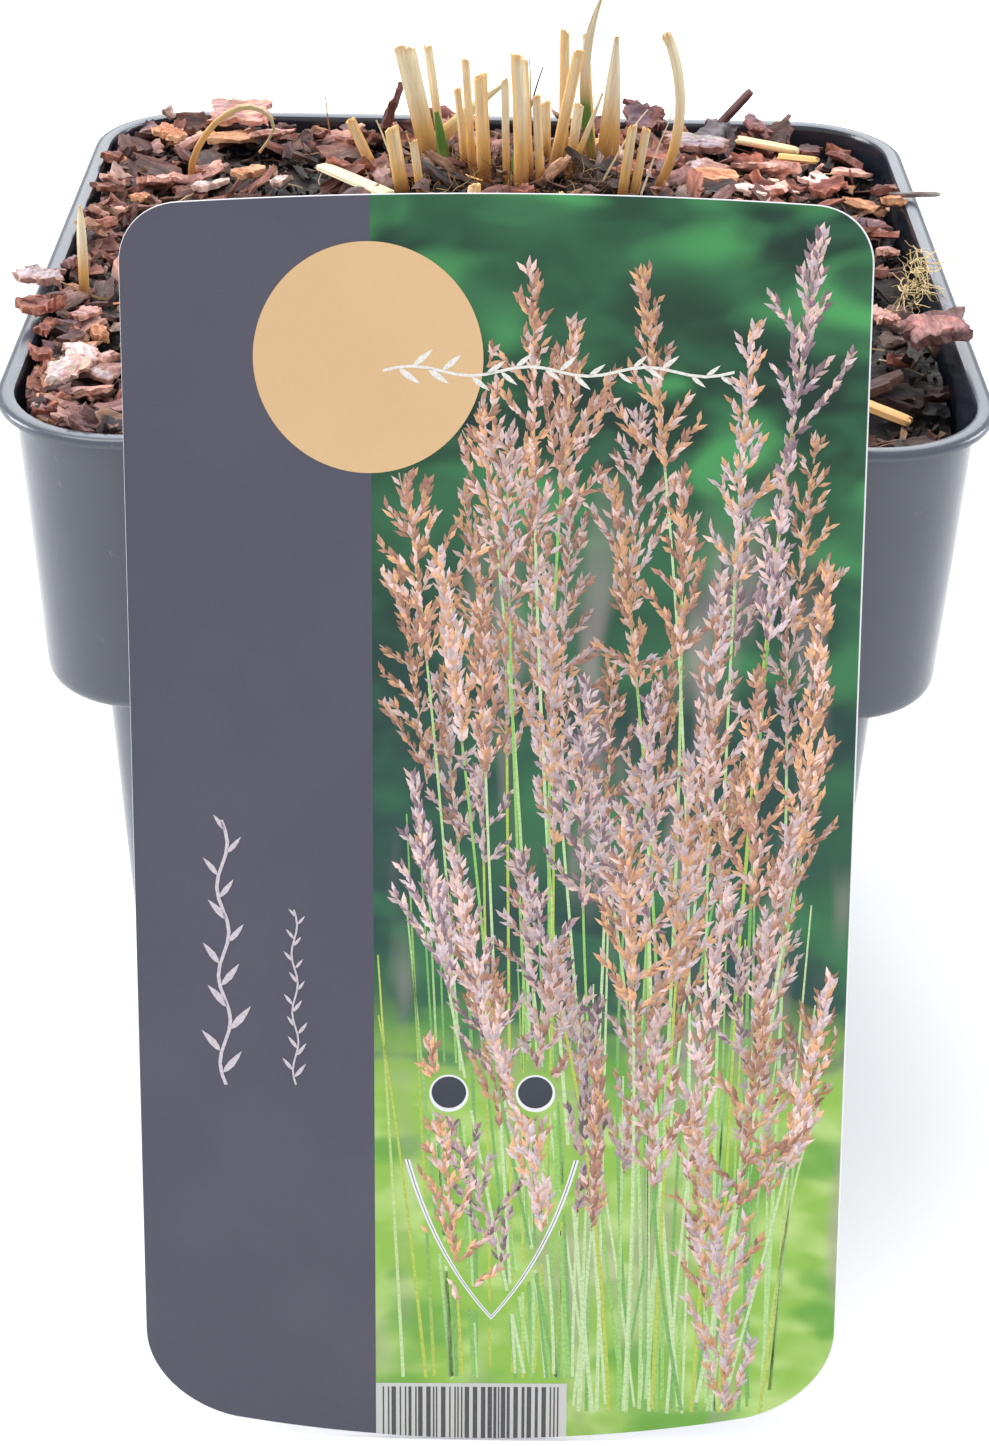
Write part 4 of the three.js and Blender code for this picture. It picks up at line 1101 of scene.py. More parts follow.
def dry_blade(name, foot_at, length, width, lean, back, cup, bow, hook, turn, root, pointed, tint):
    """One veined strip of leaf, cupped along its middle; one of them is still green at its foot."""
    luck = random.Random(name)
    half_green = name == "leaf_sheath_8"
    taper = 6 if half_green or name == "straw_at_left_rim" else 1.8
    shares = [k / 12 for k in range(1, 13)]
    line = middle_line(foot_at, length, lean, back, shares, bow, hook, root)
    all_shares = [-0.3, 0.0, *shares]
    if name == "arching_dry_blade":
        line = [Vector((x, foot_at[1], pot_height + z)) for x, z in arch]
    veins = [luck.uniform(-0.05, 0.05) for _ in range(leaf_steps + 1)]
    across = [-1 + 2 * k / leaf_steps for k in range(leaf_steps + 1)]

    def section(i):
        share = max(all_shares[i], 0)
        narrow = 1 - 0.8 * share ** taper if pointed else 1 + 0.08 * share
        half = 0.5 * max(width * narrow, 0.35)
        curl = 0.12 * math.sin(5 * share + width)
        depth = cup * narrow + curl * half * 0.3
        under = [(half * s, depth * s * s - 0.5 * leaf_thick + veins[k]) for k, s in enumerate(across)]
        over = [(half * s, depth * s * s + 0.5 * leaf_thick + veins[k]) for k, s in enumerate(across)]
        return under + over[::-1]

    facing = Vector((math.sin(math.radians(turn)), math.cos(math.radians(turn)), 0))
    rings = swept(line, section, facing)
    if not pointed:
        tears = [luck.uniform(-0.7, 0.35) for _ in across]
        for k, point in enumerate(rings[-1]):
            point.z += tears[k if k <= leaf_steps else 2 * leaf_steps + 1 - k]
    points, faces = loft(rings)
    colours = []
    grains = []
    for share in all_shares:
        for k in range(2 * leaf_steps + 2):
            colour = straw_tint(share, luck, tint)
            if half_green:
                live = clamped((0.46 - share) / 0.12) * (1 if share > 0.1 else 0.4)
                colour = between(colour, live_green, live)
            colours.append(colour)
            side = across[k if k <= leaf_steps else 2 * leaf_steps + 1 - k]
            grains.append((share * length, 1.6 * side * width + 30 * foot_at[0], 0))
    piece = mesh_object("dry_" + name, points, faces, 50, colours, grains)
    piece.data.materials.append(straw)
    return piece


for blade_name, *rest in blade_rows:
    piece = dry_blade(blade_name, *rest)
    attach(piece, "root")
    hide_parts(blade_name)

# Green shoots
# Two live shoots of rolled young leaves stand between the stems. Each tapers to a blunt point, and
# is paler at its foot.
# Name and CAD node, foot, length, width and lean
shoots = (
    ("green_shoot_1", (-8.6, 38), 8.1, 1.7, -9),
    ("green_shoot_2", (2.4, 26.2), 4.4, 1.3, 2),
)
shoot_sides = 14
shoot_foot = (0.42, 0.46, 0.16)
leaf_green = fibrous("live_leaf", (0.06, 1.0, 1.0), 3.0, (0.7, 0.75, 0.6), (1.35, 1.25, 1.1), 0.0002,
                     (0.35, 0.5))

for shoot_name, foot_at, length, width, lean in shoots:
    luck = random.Random(shoot_name)
    shares = [k / 10 for k in range(1, 11)]
    line = middle_line(foot_at, length, lean, 0, shares)
    all_shares = [-0.5, 0.0, *shares]

    def shoot_section(i):
        share = max(all_shares[i], 0)
        swell = width * (1 - 0.6 * share**2.2)
        folds = [1 + 0.14 * math.cos(6 * math.pi * k / shoot_sides + 2 * share) for k in range(shoot_sides)]
        return oval(0.5 * swell, 0.38 * swell, folds)

    points, faces = loft(swept(line, shoot_section))
    colours = []
    grains = []
    for share in all_shares:
        for k in range(shoot_sides):
            colour = between(shoot_foot, live_green, clamped(share / 0.3))
            colours.append([luck.uniform(0.85, 1.15) * c for c in colour])
            grains.append((share * length, 0.8 * k + foot_at[0], 0))
    piece = mesh_object("live_" + shoot_name, points, faces, 50, colours, grains)
    piece.data.materials.append(leaf_green)
    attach(piece, "root")
    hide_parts(shoot_name)

# Slivers, straw, twig and splinter
# Loose bits that lie on the mulch: two pale slivers of wood, a flat cut leaf, a cut straw, a twig
# over the right rim and a dark splinter of bark that stands up at the back.
# Name, size, turn, tilt, tint and slot
loose_slivers = (
    ("wood_sliver_1", (10, 2.2, 1.4), -18, 4, (0.86, 0.70, 0.46), "straw"),
    ("wood_sliver_2", (6.5, 1.7, 1.3), -24, -3, (0.80, 0.56, 0.22), "straw"),
    ("cut_leaf", (17.5, 3, 0.9), 129, 1.5, (0.80, 0.74, 0.54), "straw"),
    ("cut_straw", (7.5, 2, 1.6), -38, 4, (0.80, 0.48, 0.20), "straw"),
    ("twig", (7.6, 1.1, 1.0), -6, -4, (0.27, 0.24, 0.23), "bark"),
    ("bark_splinter", (9.5, 1.6, 1.5), 0, -50, (0.13, 0.055, 0.05), "bark"),
)
sliver_sides = 12
# Along a sliver: share of its length from the middle, and how full it is there
sliver_stations = ((-0.5, 0.75), (-0.48, 0.93), (-0.36, 1), (-0.2, 0.96), (0, 1), (0.2, 0.97),
                   (0.38, 0.95), (0.47, 0.86), (0.5, 0.66))

for sliver_name, (length, width, thick), turn, tilt, tint, slot in loose_slivers:
    luck = random.Random(sliver_name)
    line = [Vector((share * length, 0, 0)) for share, _ in sliver_stations]
    ribs = [luck.uniform(0.86, 1.1) for _ in range(sliver_sides)]

    def sliver_section(i):
        swell = sliver_stations[i][1]
        return oval(0.5 * width * swell, 0.5 * thick * swell, ribs)

    rings = swept(line, sliver_section, Vector((0, 0, 1)))
    for ring in (rings[0], rings[-1]):
        for point in ring:
            point.x += luck.uniform(-0.35, 0.35)
    points, faces = loft(rings)
    grains = [(point.x, 1.4 * point.y + turn, point.z) for point in points]
    colours = [[luck.uniform(0.85, 1.08) * c for c in tint] for _ in points]
    spin = turned(0, tilt, turn)
    placed = centred([spin @ point for point in points], centre_of(sliver_name))
    piece = mesh_object("loose_" + sliver_name, placed, faces, 40, colours, grains)
    piece.data.materials.append(straw if slot == "straw" else bark)
    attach(piece, "root")
    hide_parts(sliver_name)

# Dry roots and hairs
# A tuft of thin dry roots lies at the right rim. Brown hairs of the crown and fine torn strands
# stand between the stems.
root_colour = (0.66, 0.52, 0.29)
root_count = 70
hair_colours = ((0.16, 0.07, 0.035), (0.26, 0.12, 0.05), (0.45, 0.28, 0.12), (0.09, 0.04, 0.025))
hair_count = 420
torn_colours = ((0.45, 0.20, 0.11), (0.60, 0.42, 0.24), (0.20, 0.09, 0.06))
torn_count = 130


def strand(heap, path, width, tint, luck):
    """Three-sided hair along a path, thinner at its tip."""
    last = len(path) - 1

    def section(i):
        radius = 0.5 * width * (1 - 0.6 * i / last)
        return [(radius * math.cos(a), radius * math.sin(a)) for a in (0, 2.09, 4.19)]

    points, faces = loft(swept(path, section, Vector((0.31, 0.87, 0.39))))
    colour = shaded(tint, luck.uniform(0.75, 1.2))
    heap_up(heap, points, faces, [colour] * len(points), [tuple(point) for point in points])


def wandering(start, aim, length, steps, stray, luck):
    """Path from start towards aim that strays a little at each step."""
    path = [start]
    heading = aim.normalized()
    for _ in range(steps):
        heading = (heading + Vector([luck.gauss(0, stray) for _ in range(3)])).normalized()
        path.append(path[-1] + heading * length / steps)
    return path


def root_tuft():
    """Roots that lie along the rim, kept in the space of the tuft's CAD node."""
    heap = new_heap()
    luck = random.Random(41)
    low, high = (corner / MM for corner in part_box("root_tuft"))
    middle = (low + high) / 2
    for _ in range(root_count):
        along = luck.gauss(0, 0.26)
        x = middle.x + 4 * along + luck.gauss(0, 0.9)
        start = Vector((x, middle.y + 15 * along, luck.uniform(low.z, high.z)))
        aim = Vector((luck.gauss(0.12, 0.3), luck.choice((-1, 1)), luck.uniform(-0.1, 0.3)))
        path = wandering(start, aim, luck.uniform(3.5, 7.5), 8, 0.33, luck)
        for point in path:
            for axis in range(3):
                point[axis] = max(low[axis] - 0.4, min(high[axis] + 0.4, point[axis]))
        strand(heap, path, luck.uniform(0.15, 0.3), root_colour, luck)
    return heap


def crown_hairs():
    """Short hairs that stand up round the feet of the stems."""
    heap = new_heap()
    luck = random.Random(42)
    for _ in range(hair_count):
        angle = luck.uniform(0, 2 * math.pi)
        reach = 15 * math.sqrt(luck.random())
        x = 3 + 1.25 * reach * math.cos(angle)
        y = 30 + reach * math.sin(angle)
        start = Vector((x, y, mulch_height(x, y) - 0.8))
        aim = Vector((luck.gauss(0, 0.9), luck.gauss(0, 0.9), luck.uniform(0.1, 1.0)))
        path = wandering(start, aim, luck.uniform(2.0, 5.0), 5, 0.25, luck)
        tint = luck.choice(hair_colours)
        strand(heap, path, luck.uniform(0.12, 0.26), tint, luck)
    return heap


# Strands that show one by one: foot, how far the tip lies from it, width and tint
single_strands = (
    ((4.6, 30), (-0.6, -1, 18.5), 0.45, (0.62, 0.55, 0.42)),
    ((2.4, 29.5), (3.0, -1, 16), 0.6, (0.04, 0.035, 0.03)),
    ((15.5, 27), (6.2, 0, 11.5), 0.5, pale_leaf),
    ((-14.5, 27), (-4.8, 1, 9.0), 0.6, pale_leaf),
    ((-11.5, 24), (-1.5, 0, 8.0), 0.5, straw_warm),
    ((21.5, 23), (3.4, 0, 13.5), 0.5, pale_leaf),
    ((-49.5, -42), (9, 4, 3.0), 0.7, pale_leaf),
    ((-5.5, 31), (2.5, -6, 1.6), 0.5, straw_warm),
)


def torn_strands():
    """The single strands, and fibres strewn over the whole bed."""
    heap = new_heap()
    luck = random.Random(43)
    for (x, y), tip, width, tint in single_strands:
        start = Vector((x, y, mulch_height(x, y) - 1))
        path = wandering(start, Vector(tip), Vector(tip).length + 1, 9, 0.035, luck)
        strand(heap, path, width, tint, luck)
    for _ in range(torn_count):
        x = luck.uniform(-58, 58)
        y = luck.uniform(-58, 58)
        start = Vector((x, y, mulch_height(x, y) + luck.uniform(-0.6, 0.8)))
        aim = Vector((luck.gauss(0, 1), luck.gauss(0, 1), luck.gauss(0.12, 0.16)))
        path = wandering(start, aim, luck.uniform(3, 9), 6, 0.12, luck)
        tint = luck.choice(torn_colours)
        strand(heap, [kept_inside(point) for point in path], luck.uniform(0.2, 0.5), tint, luck)
    return heap


for heap_name, heap, node_name, slot in (
        ("dry_root_tuft", root_tuft(), "root_tuft", "dry_roots"),
        ("crown_hairs", crown_hairs(), None, "dry_roots"),
        ("torn_strands", torn_strands(), None, "straw")):
    piece = mesh_object(heap_name, heap["points"], heap["faces"], 70, heap["colours"], heap["grains"])
    piece.data.materials.append(straw)
    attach(piece, "root")
    if node_name:
        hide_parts(node_name)

# Card label
# A laminated card, printed in front and plain white behind, stands on the ground and leans on the
# rim. It has two round hanging holes and a V-shaped slit, whose tongue holds on to a rim or wire.
card_half = 46.35
card_thick = 0.7
# Heights of the card's ends at its middle and at its corners, and the corners' rounding
card_top, card_top_side, small_corner = 31.2, 30.0, 7.4
card_bottom, card_bottom_side, large_corner = -134.8, -131.9, 13
card_rim = (0, -66.07, pot_height)
card_lean = math.radians(18.16)
card_roll = math.radians(0.67)
hole_centres = ((-5.7, -85.1), (5.7, -85.1))
hole_radius = 2.3
slit_points = ((11.2, -94.4), (7.6, -108.2), (0, -117))
slit_width = 0.14
band_edge = -15.5
print_inset = 0.13
print_shift = -0.08
# Heights over the card's face: of the print's under side, then of each layer laid on another
print_under, print_level, sand_level, bar_level, ornament_level = -0.02, 0.03, 0.09, 0.11, 0.13


def bezier(points, steps):
    """Points on the curve of any degree through the given pulls, without its last point."""
    out = []
    for k in range(steps):
        level = [Vector(point) for point in points]
        while len(level) > 1:
            level = [a.lerp(b, k / steps) for a, b in zip(level, level[1:])]
        out.append(level[0])
    return out


def mirrored(points):
    """The points on the other side of the card's middle line, in reverse."""
    return [(-x, y) for x, y in reversed(points)]


def card_outline(inset=0.0):
    """Outline of the card, counter-clockwise, moved inwards by the inset."""
    half = card_half - inset
    top, top_side = card_top - inset, card_top_side - inset
    bottom, bottom_side = card_bottom + inset, card_bottom_side + inset
    small, large = small_corner - 0.4 * inset, large_corner - 0.4 * inset
    low_side = (half, bottom_side + large)
    low_foot = (half - large, bottom_side)
    high_side = (half, top_side - small)
    high_foot = (half - small, top_side)
    low_corner = [low_foot, (half - large + 6, bottom_side + 0.8),
                  (half, bottom_side + large - 7), low_side]
    high_corner = [high_side, (half, top_side - small + 4.2),
                   (half - small + 4.2, top_side - 0.2), high_foot]
    points = bezier([(-low_foot[0], low_foot[1]), (0, 2 * bottom - bottom_side), low_foot], 40)
    points += bezier(low_corner, 16)
    points += bezier([low_side, high_side], 1)
    points += bezier(high_corner, 14)
    points += bezier([high_foot, (0, 2 * top - top_side), (-high_foot[0], high_foot[1])], 40)
    points += bezier(mirrored(high_corner), 14)
    points += bezier(mirrored([low_side, high_side]), 1)
    points += bezier(mirrored(low_corner), 16)
    return points


def circle(centre, radius, count=40):
    """Outline of a round hole or disc."""
    angles = [2 * math.pi * k / count for k in range(count)]
    return [Vector((centre[0] + radius * math.cos(a), centre[1] + radius * math.sin(a))) for a in angles]


def slit_outline(width):
    """The V of the slit, with the given width."""
    half = width / 2
    (top_x, top_y), (pull_x, pull_y), (_, tip_y) = slit_points
    outer = [(-top_x - half, top_y), (-pull_x - half, pull_y), (0, tip_y - half)]
    inner = [(0, tip_y + half), (-pull_x + half, pull_y), (-top_x + half, top_y)]
    return (bezier(outer, 14) + bezier(mirrored(outer), 14) + [Vector((top_x + half, top_y))]
            + bezier(mirrored(inner), 14) + bezier(inner, 14) + [Vector((-top_x + half, top_y))])


def clipped(points, axis, limit, above):
    """The part of a convex outline above or below a limit in u (axis 0) or v (axis 1)."""
    out = []
    for a, b in zip(points, points[1:] + points[:1]):
        inside = [(point[axis] >= limit) == above for point in (a, b)]
        if inside[0]:
            out.append(a)
        if inside[0] != inside[1]:
            out.append(a.lerp(b, (limit - a[axis]) / (b[axis] - a[axis])))
    return out


card_out = Vector((0, -math.cos(card_lean), math.sin(card_lean)))
card_up = Matrix.Rotation(card_roll, 3, card_out) @ Vector((0, math.sin(card_lean), math.cos(card_lean)))
card_right = card_up.cross(card_out)
card_base = Vector(card_rim)
# The card slides along its lean until its lowest point touches the ground
lowest = min((card_base + card_right * u + card_up * v - card_out * card_thick).z
             for u, v in card_outline())
card_base -= card_up * (lowest / card_up.z)


def on_card(u, v, out):
    """Place of a point of the card: across from its middle, up from the rim, and out of its face."""
    return card_base + card_right * u + card_up * v + card_out * out


def card_layer(name, outlines, under, over, bevel, material):
    """Closed layer on the card between two heights; the first outline is outer, the rest are cut
    out."""
    curve = bpy.data.curves.new(name, "CURVE")
    curve.dimensions = "2D"
    curve.fill_mode = "BOTH"
    curve.extrude = (over - under) / 2 - bevel
    curve.bevel_depth = bevel
    curve.bevel_resolution = 2
    curve.offset = -bevel
    for outline in outlines:
        spline = curve.splines.new("POLY")
        spline.points.add(len(outline) - 1)
        spline.points.foreach_set("co", [c for point in outline for c in (point.x, point.y, 0, 1)])
        spline.use_cyclic_u = True
    flat = bpy.data.objects.new(name, curve)
    mesh = bpy.data.meshes.new_from_object(flat)
    bpy.data.objects.remove(flat)
    middle = (under + over) / 2
    sheet = mesh.attributes.new("sheet", "FLOAT_VECTOR", "POINT")
    sheet.data.foreach_set("vector", [c for vertex in mesh.vertices for c in vertex.co])
    for vertex in mesh.vertices:
        u, v, out = vertex.co
        vertex.co = on_card(u, v, middle + out) * MM
    welded = bmesh.new()
    welded.from_mesh(mesh)
    bmesh.ops.remove_doubles(welded, verts=welded.verts, dist=1e-7)
    bmesh.ops.recalc_face_normals(welded, faces=welded.faces)
    welded.to_mesh(mesh)
    welded.free()
    mesh.shade_smooth()
    mesh.set_sharp_from_angle(angle=math.radians(35))
    piece = bpy.data.objects.new(name, mesh)
    bpy.context.scene.collection.objects.link(piece)
    mesh.materials.clear()
    mesh.materials.append(material)
    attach(piece, "root")
    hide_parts("label")


def sheet_place(tree):
    """Place on the flat card, in millimetres."""
    return put(tree, "ShaderNodeAttribute", attribute_name="sheet").outputs["Vector"]


def laminate(tree, shader, place):
    """Thin clear film over the print: satin, with a faint waviness and fine handling marks."""
    shader.inputs["Specular IOR Level"].default_value = 0.3
    haze = mottling(tree, place, 0.05, 3.0, 0.3, 0.7)
    tree.links.new(spread(tree, haze, 0.38, 0.47), shader.inputs["Roughness"])
    add_bump(tree, shader, haze, 0.12, 0.0004)


def plain_print(name, colour, other, share=0.5):
    """One printed colour, a little uneven, under the film."""
    material, tree, shader = start_material(name)
    place = sheet_place(tree)
    grain = mottling(tree, place, 1.3, 6.0, 0.3, 0.75)
    broad = mottling(tree, place, 0.035, 2.0, 0.35, 0.65)
    mixed = blend_colours(tree, spread(tree, broad, 0.0, share), colour, other)
    mottled = blend_colours(tree, spread(tree, grain, 0.0, 0.35 * share), mixed, other)
    tree.links.new(mottled, shader.inputs["Base Color"])
    laminate(tree, shader, place)
    return material


def product_of(tree, first, second):
    """Product of two masks."""
    product = put(tree, "ShaderNodeMath", operation="MULTIPLY")
    tree.links.new(first, product.inputs[0])
    tree.links.new(second, product.inputs[1])
    return product.outputs[0]


def garden_picture():
    """Out-of-focus garden behind the printed ears: dark hedge above, sunlit grass below."""
    material, tree, shader = start_material("garden_picture")
    place = sheet_place(tree)
    parts = put(tree, "ShaderNodeSeparateXYZ")
    tree.links.new(place, parts.inputs[0])
    height = parts.outputs["Y"]
    wide = stretched(tree, place, (0.7, 1.2, 1.0))
    broad = mottling(tree, wide, 0.035, 1.5, 0.4, 0.62, 0.3)
    clump = mottling(tree, wide, 0.075, 1.5, 0.48, 0.70, 0.5)
    small = mottling(tree, wide, 0.17, 1.0, 0.40, 0.70, 0.3)
    # The hedge: deep green, bluer below, with paler places and sunlit clumps
    hedge = blend_colours(tree, small, (0.010, 0.036, 0.025), (0.022, 0.095, 0.050))
    teal = blend_colours(tree, spread(tree, height, 0.8, 0.0, -55.0, 0.0), hedge, (0.022, 0.066, 0.060))
    shade = blend_colours(tree, broad, teal, (0.034, 0.135, 0.062))
    glow = product_of(tree, clump, spread(tree, height, 0.25, 0.95, -40.0, 20.0))
    leaf = blend_colours(tree, glow, shade, (0.075, 0.35, 0.110))
    # The meadow, and the soft uneven line where it meets the hedge
    meadow = blend_colours(tree, small, (0.26, 0.47, 0.075), (0.44, 0.62, 0.20))
    grass = blend_colours(tree, spread(tree, clump, 0.0, 0.75), meadow, (0.10, 0.31, 0.045))
    line = put(tree, "ShaderNodeMath", operation="MULTIPLY_ADD")
    tree.links.new(small, line.inputs[0])
    line.inputs[1].default_value = 7.0
    tree.links.new(height, line.inputs[2])
    garden = blend_colours(tree, spread(tree, line.outputs[0], 1.0, 0.0, -85.0, -68.0), leaf, grass)
    # Blurred ears far behind
    haze = mottling(tree, stretched(tree, wide, (1.0, 0.13, 1.0)), 0.15, 2.0, 0.5, 0.72)
    far = product_of(tree, haze, spread(tree, height, 0.6, 0.0, -30.0, 5.0))
    tree.links.new(blend_colours(tree, far, garden, (0.40, 0.30, 0.33)), shader.inputs["Base Color"])
    laminate(tree, shader, sheet_place(tree))
    return material


def printed_ink():
    """Inks of the drawn ears, stems and ornaments, whose colour comes with each shape."""
    material, tree, shader = start_material("printed_ink")
    tint = put(tree, "ShaderNodeAttribute", attribute_name="tint").outputs["Color"]
    place = put(tree, "ShaderNodeAttribute", attribute_name="grain").outputs["Vector"]
    grain = mottling(tree, place, 2.2, 4.0, 0.35, 0.7)
    shade = blend_colours(tree, 1.0, tint, (0.62, 0.56, 0.58), "MULTIPLY")
    toned = blend_colours(tree, spread(tree, grain, 0.0, 0.45), tint, shade)
    tree.links.new(toned, shader.inputs["Base Color"])
    laminate(tree, shader, place)
    return material


white_card = plain_print("white_card", (0.80, 0.80, 0.84), (0.74, 0.74, 0.79))
slate_print = plain_print("slate_print", (0.078, 0.076, 0.108), (0.092, 0.090, 0.124))
sand_print = plain_print("sand_print", (0.68, 0.46, 0.25), (0.64, 0.425, 0.225))
picture_print = garden_picture()
ink = printed_ink()

holes = [circle(centre, hole_radius) for centre in hole_centres]
wide_holes = [circle(centre, hole_radius + 0.3) for centre in hole_centres]
card_layer("card_body", [card_outline(), *holes, slit_outline(slit_width)],
           -card_thick, 0, 0.1, white_card)
field = [point + Vector((print_shift, 0)) for point in card_outline(print_inset)]
picture_field = clipped(field, 0, band_edge, True)
band_field = clipped(field, 0, band_edge, False)
card_layer("card_band", [band_field], print_under, print_level, 0, slate_print)
card_layer("card_picture", [picture_field, *wide_holes, slit_outline(slit_width + 0.55)],
           print_under, print_level, 0, picture_print)
disc_centre = (-15.8, 11.1)
disc_radius = 14.25
card_layer("card_disc", [circle(disc_centre, disc_radius, 96)], 0, sand_level, 0, sand_print)

# A pale strip with upright bars at the foot of the picture
strip_top = -126.6
strip_right = 10.3
strip = clipped(clipped(picture_field, 0, strip_right, False), 1, strip_top, False)
pale_print = plain_print("pale_print", (0.56, 0.56, 0.55), (0.52, 0.52, 0.51))
card_layer("card_strip", [strip], 0.02, sand_level, 0, pale_print)
bar_ink = (0.085, 0.085, 0.09)


def add_ink(heap, outline, level, foot_colour, tip_colour):
    """Closed flat shape of ink at a level over the card; its colour runs from its first point to its
    middle one."""
    count = len(outline)
    if count < 3:
        return
    points = [on_card(u, v, level) for u, v in outline] + [on_card(u, v, 0.0) for u, v in outline]
    faces = [tuple(range(count)), tuple(reversed(range(count, 2 * count)))]
    for k in range(count):
        following = (k + 1) % count
        faces.append((k, k + count, following + count, following))
    colours = []
    for k in range(count):
        share = min(k, count - k) / (count / 2)
        colours.append(between(foot_colour, tip_colour, share))
    grains = [(u, v, 0) for u, v in outline]
    heap_up(heap, points, faces, 2 * colours, 2 * grains)


def strip_bars():
    """Bars across the strip, each of a width drawn by chance."""
    luck = random.Random(3)
    bars = new_heap()
    u = band_edge + 0.9
    while u < strip_right - 0.7:
        width = luck.choice((0.2, 0.2, 0.4, 0.6))
        bar = clipped(clipped(strip, 0, u, True), 0, u + width, False)
        bar = clipped(bar, 1, strip_top - 0.5, False)
        add_ink(bars, bar, bar_level, bar_ink, bar_ink)
        u += width + luck.choice((0.2, 0.3, 0.5))
    return bars


# Ink ends at this foot and top, and keeps clear of the corners from these heights on
ink_foot, ink_top = -131, 29
foot_corners, top_corners = -118, 23
slit_path = bezier(slit_points, 24)
slit_path += [Vector((-point.x, point.y)) for point in slit_path] + [Vector(slit_points[-1])]


def open_field(u, v):
    """True where the picture may carry ink: inside its edges, clear of holes, slit and strip."""
    if not (band_edge + 0.5 < u < card_half - 1.2 and ink_foot < v < ink_top):
        return False
    if v < strip_top + 0.6 and u < strip_right + 0.8:
        return False
    if v < foot_corners and u > card_half - 4 - 0.9 * (foot_corners - v) * 0.5:
        return False
    if v > top_corners and u > card_half - 2.5 - (v - top_corners) * 0.5:
        return False
    if any(math.hypot(u - a, v - b) < hole_radius + 0.7 for a, b in hole_centres):
        return False
    if math.hypot(u - disc_centre[0], v - disc_centre[1]) < disc_radius + 0.3:
        return False
    return all((Vector((u, v)) - point).length > 0.75 for point in slit_path)


def ribbon(heap, path, start_width, end_width, level, colour, tip_colour):
    """Tapering line of ink along a path, left out wherever the picture has no ink."""
    run = []
    for k, point in enumerate(path):
        half = 0.5 * (start_width + (end_width - start_width) * k / len(path))
        ahead = path[min(k + 1, len(path) - 1)] - path[max(k - 1, 0)]
        if open_field(*point):
            run.append((point, ahead.orthogonal().normalized() * half))
        if run and (k == len(path) - 1 or not open_field(*point)):
            if len(run) > 1:
                outline = [point - side for point, side in run]
                outline += [point + side for point, side in reversed(run)]
                add_ink(heap, outline, level, colour, tip_colour)
            run = []


def spikelet(heap, foot, heading, length, width, level, colour, tip_colour):
    """One pointed spikelet, left out where the picture has no ink."""
    tip = foot + heading * length
    if open_field(*foot) and open_field(*tip):
        side = heading.orthogonal() * width / 2
        outline = [foot - side * 0.2, foot + heading * 0.4 * length - side, tip,
                   foot + heading * 0.45 * length + side, foot + side * 0.3]
        add_ink(heap, outline, level, colour, tip_colour)


# Colours of a spikelet at its foot and at its tip
ear_inks = {
    "pink": ((0.58, 0.32, 0.29), (0.88, 0.69, 0.63)),
    "lilac": ((0.44, 0.31, 0.36), (0.80, 0.68, 0.70)),
    "orange": ((0.56, 0.24, 0.11), (0.84, 0.52, 0.31)),
    "brown": ((0.28, 0.12, 0.08), (0.58, 0.33, 0.24)),
    "purple": ((0.16, 0.10, 0.13), (0.40, 0.28, 0.32)),
}
stem_inks = ((0.30, 0.56, 0.15), (0.44, 0.66, 0.28), (0.20, 0.43, 0.13), (0.54, 0.70, 0.38),
             (0.46, 0.56, 0.10))
stalk_foot = (0.46, 0.34, 0.22)
stalk_tip = (0.60, 0.42, 0.34)


def spray(heap, luck, start, heading, length, turn, size, level, inks, tone):
    """One branch: a hair-thin stalk that turns as it grows, with spikelets close along both sides."""
    steps = max(2, round(length / (0.42 * size)))
    point = start.copy()
    stalk = [start.copy()]
    for step in range(steps):
        heading = Matrix.Rotation(turn / steps + luck.gauss(0, 0.05), 2) @ heading
        point = point + heading * length / steps
        stalk.append(point.copy())
        for hand in (1, -1) if luck.random() < 0.5 else (luck.choice((1, -1)),):
            aim = Matrix.Rotation(hand * luck.uniform(0.08, 0.6), 2) @ heading
            foot_ink, tip_ink = ear_inks[luck.choice(inks)]
            shade = tone * luck.uniform(0.65, 1.15)
            spikelet(heap, point + heading.orthogonal() * luck.uniform(-0.25, 0.25), aim,
                     size * luck.uniform(0.75, 1.2), luck.uniform(0.28, 0.42) * size,
                     level + 0.004 * luck.random(), shaded(foot_ink, shade), shaded(tip_ink, shade))
    ribbon(heap, stalk, 0.22, 0.12, level, stalk_foot, stalk_tip)


def panicle(heap, luck, foot, top, sway, length, reach, openness, size, level, inks, tone):
    """A stem that sways from its foot to its top; its last part bears branches, long ones below."""
    pull = Vector(((foot.x + top.x) / 2 - sway, foot.y + 0.6 * (top.y - foot.y)))
    steps = 60
    path = bezier([foot, pull, top], steps) + [top.copy()]
    start = max(2, round(steps * (1 - length / (top - foot).length)))
    green = luck.choice(stem_inks)
    ribbon(heap, path[:start + 10], 0.55 * luck.uniform(0.6, 1.1), 0.3, level - 0.01, green, green)
    count = max(5, round(length / 2.5))
    for number in range(count):
        share = (number + luck.uniform(0, 0.6)) / count
        at = start + share * (steps - start)
        k = min(steps - 1, int(at))
        along = (path[k + 1] - path[k]).normalized()
        hand = 1 if number % 2 else -1
        angle = hand * math.radians(openness * luck.uniform(0.5, 1.2) * (1 - 0.6 * share))
        branch = reach * (1 - share) ** 1.2 * luck.uniform(0.4, 1.2) + 1.8
        turn = -0.4 * angle * luck.uniform(-0.4, 1.5)
        over = level + 0.01 * share
        start_at = path[k].lerp(path[k + 1], at - k)
        spray(heap, luck, start_at, Matrix.Rotation(angle, 2) @ along, branch, turn, size, over, inks, tone)
        spray(heap, luck, path[k], along, 2.6, 0, size, over, inks, tone)


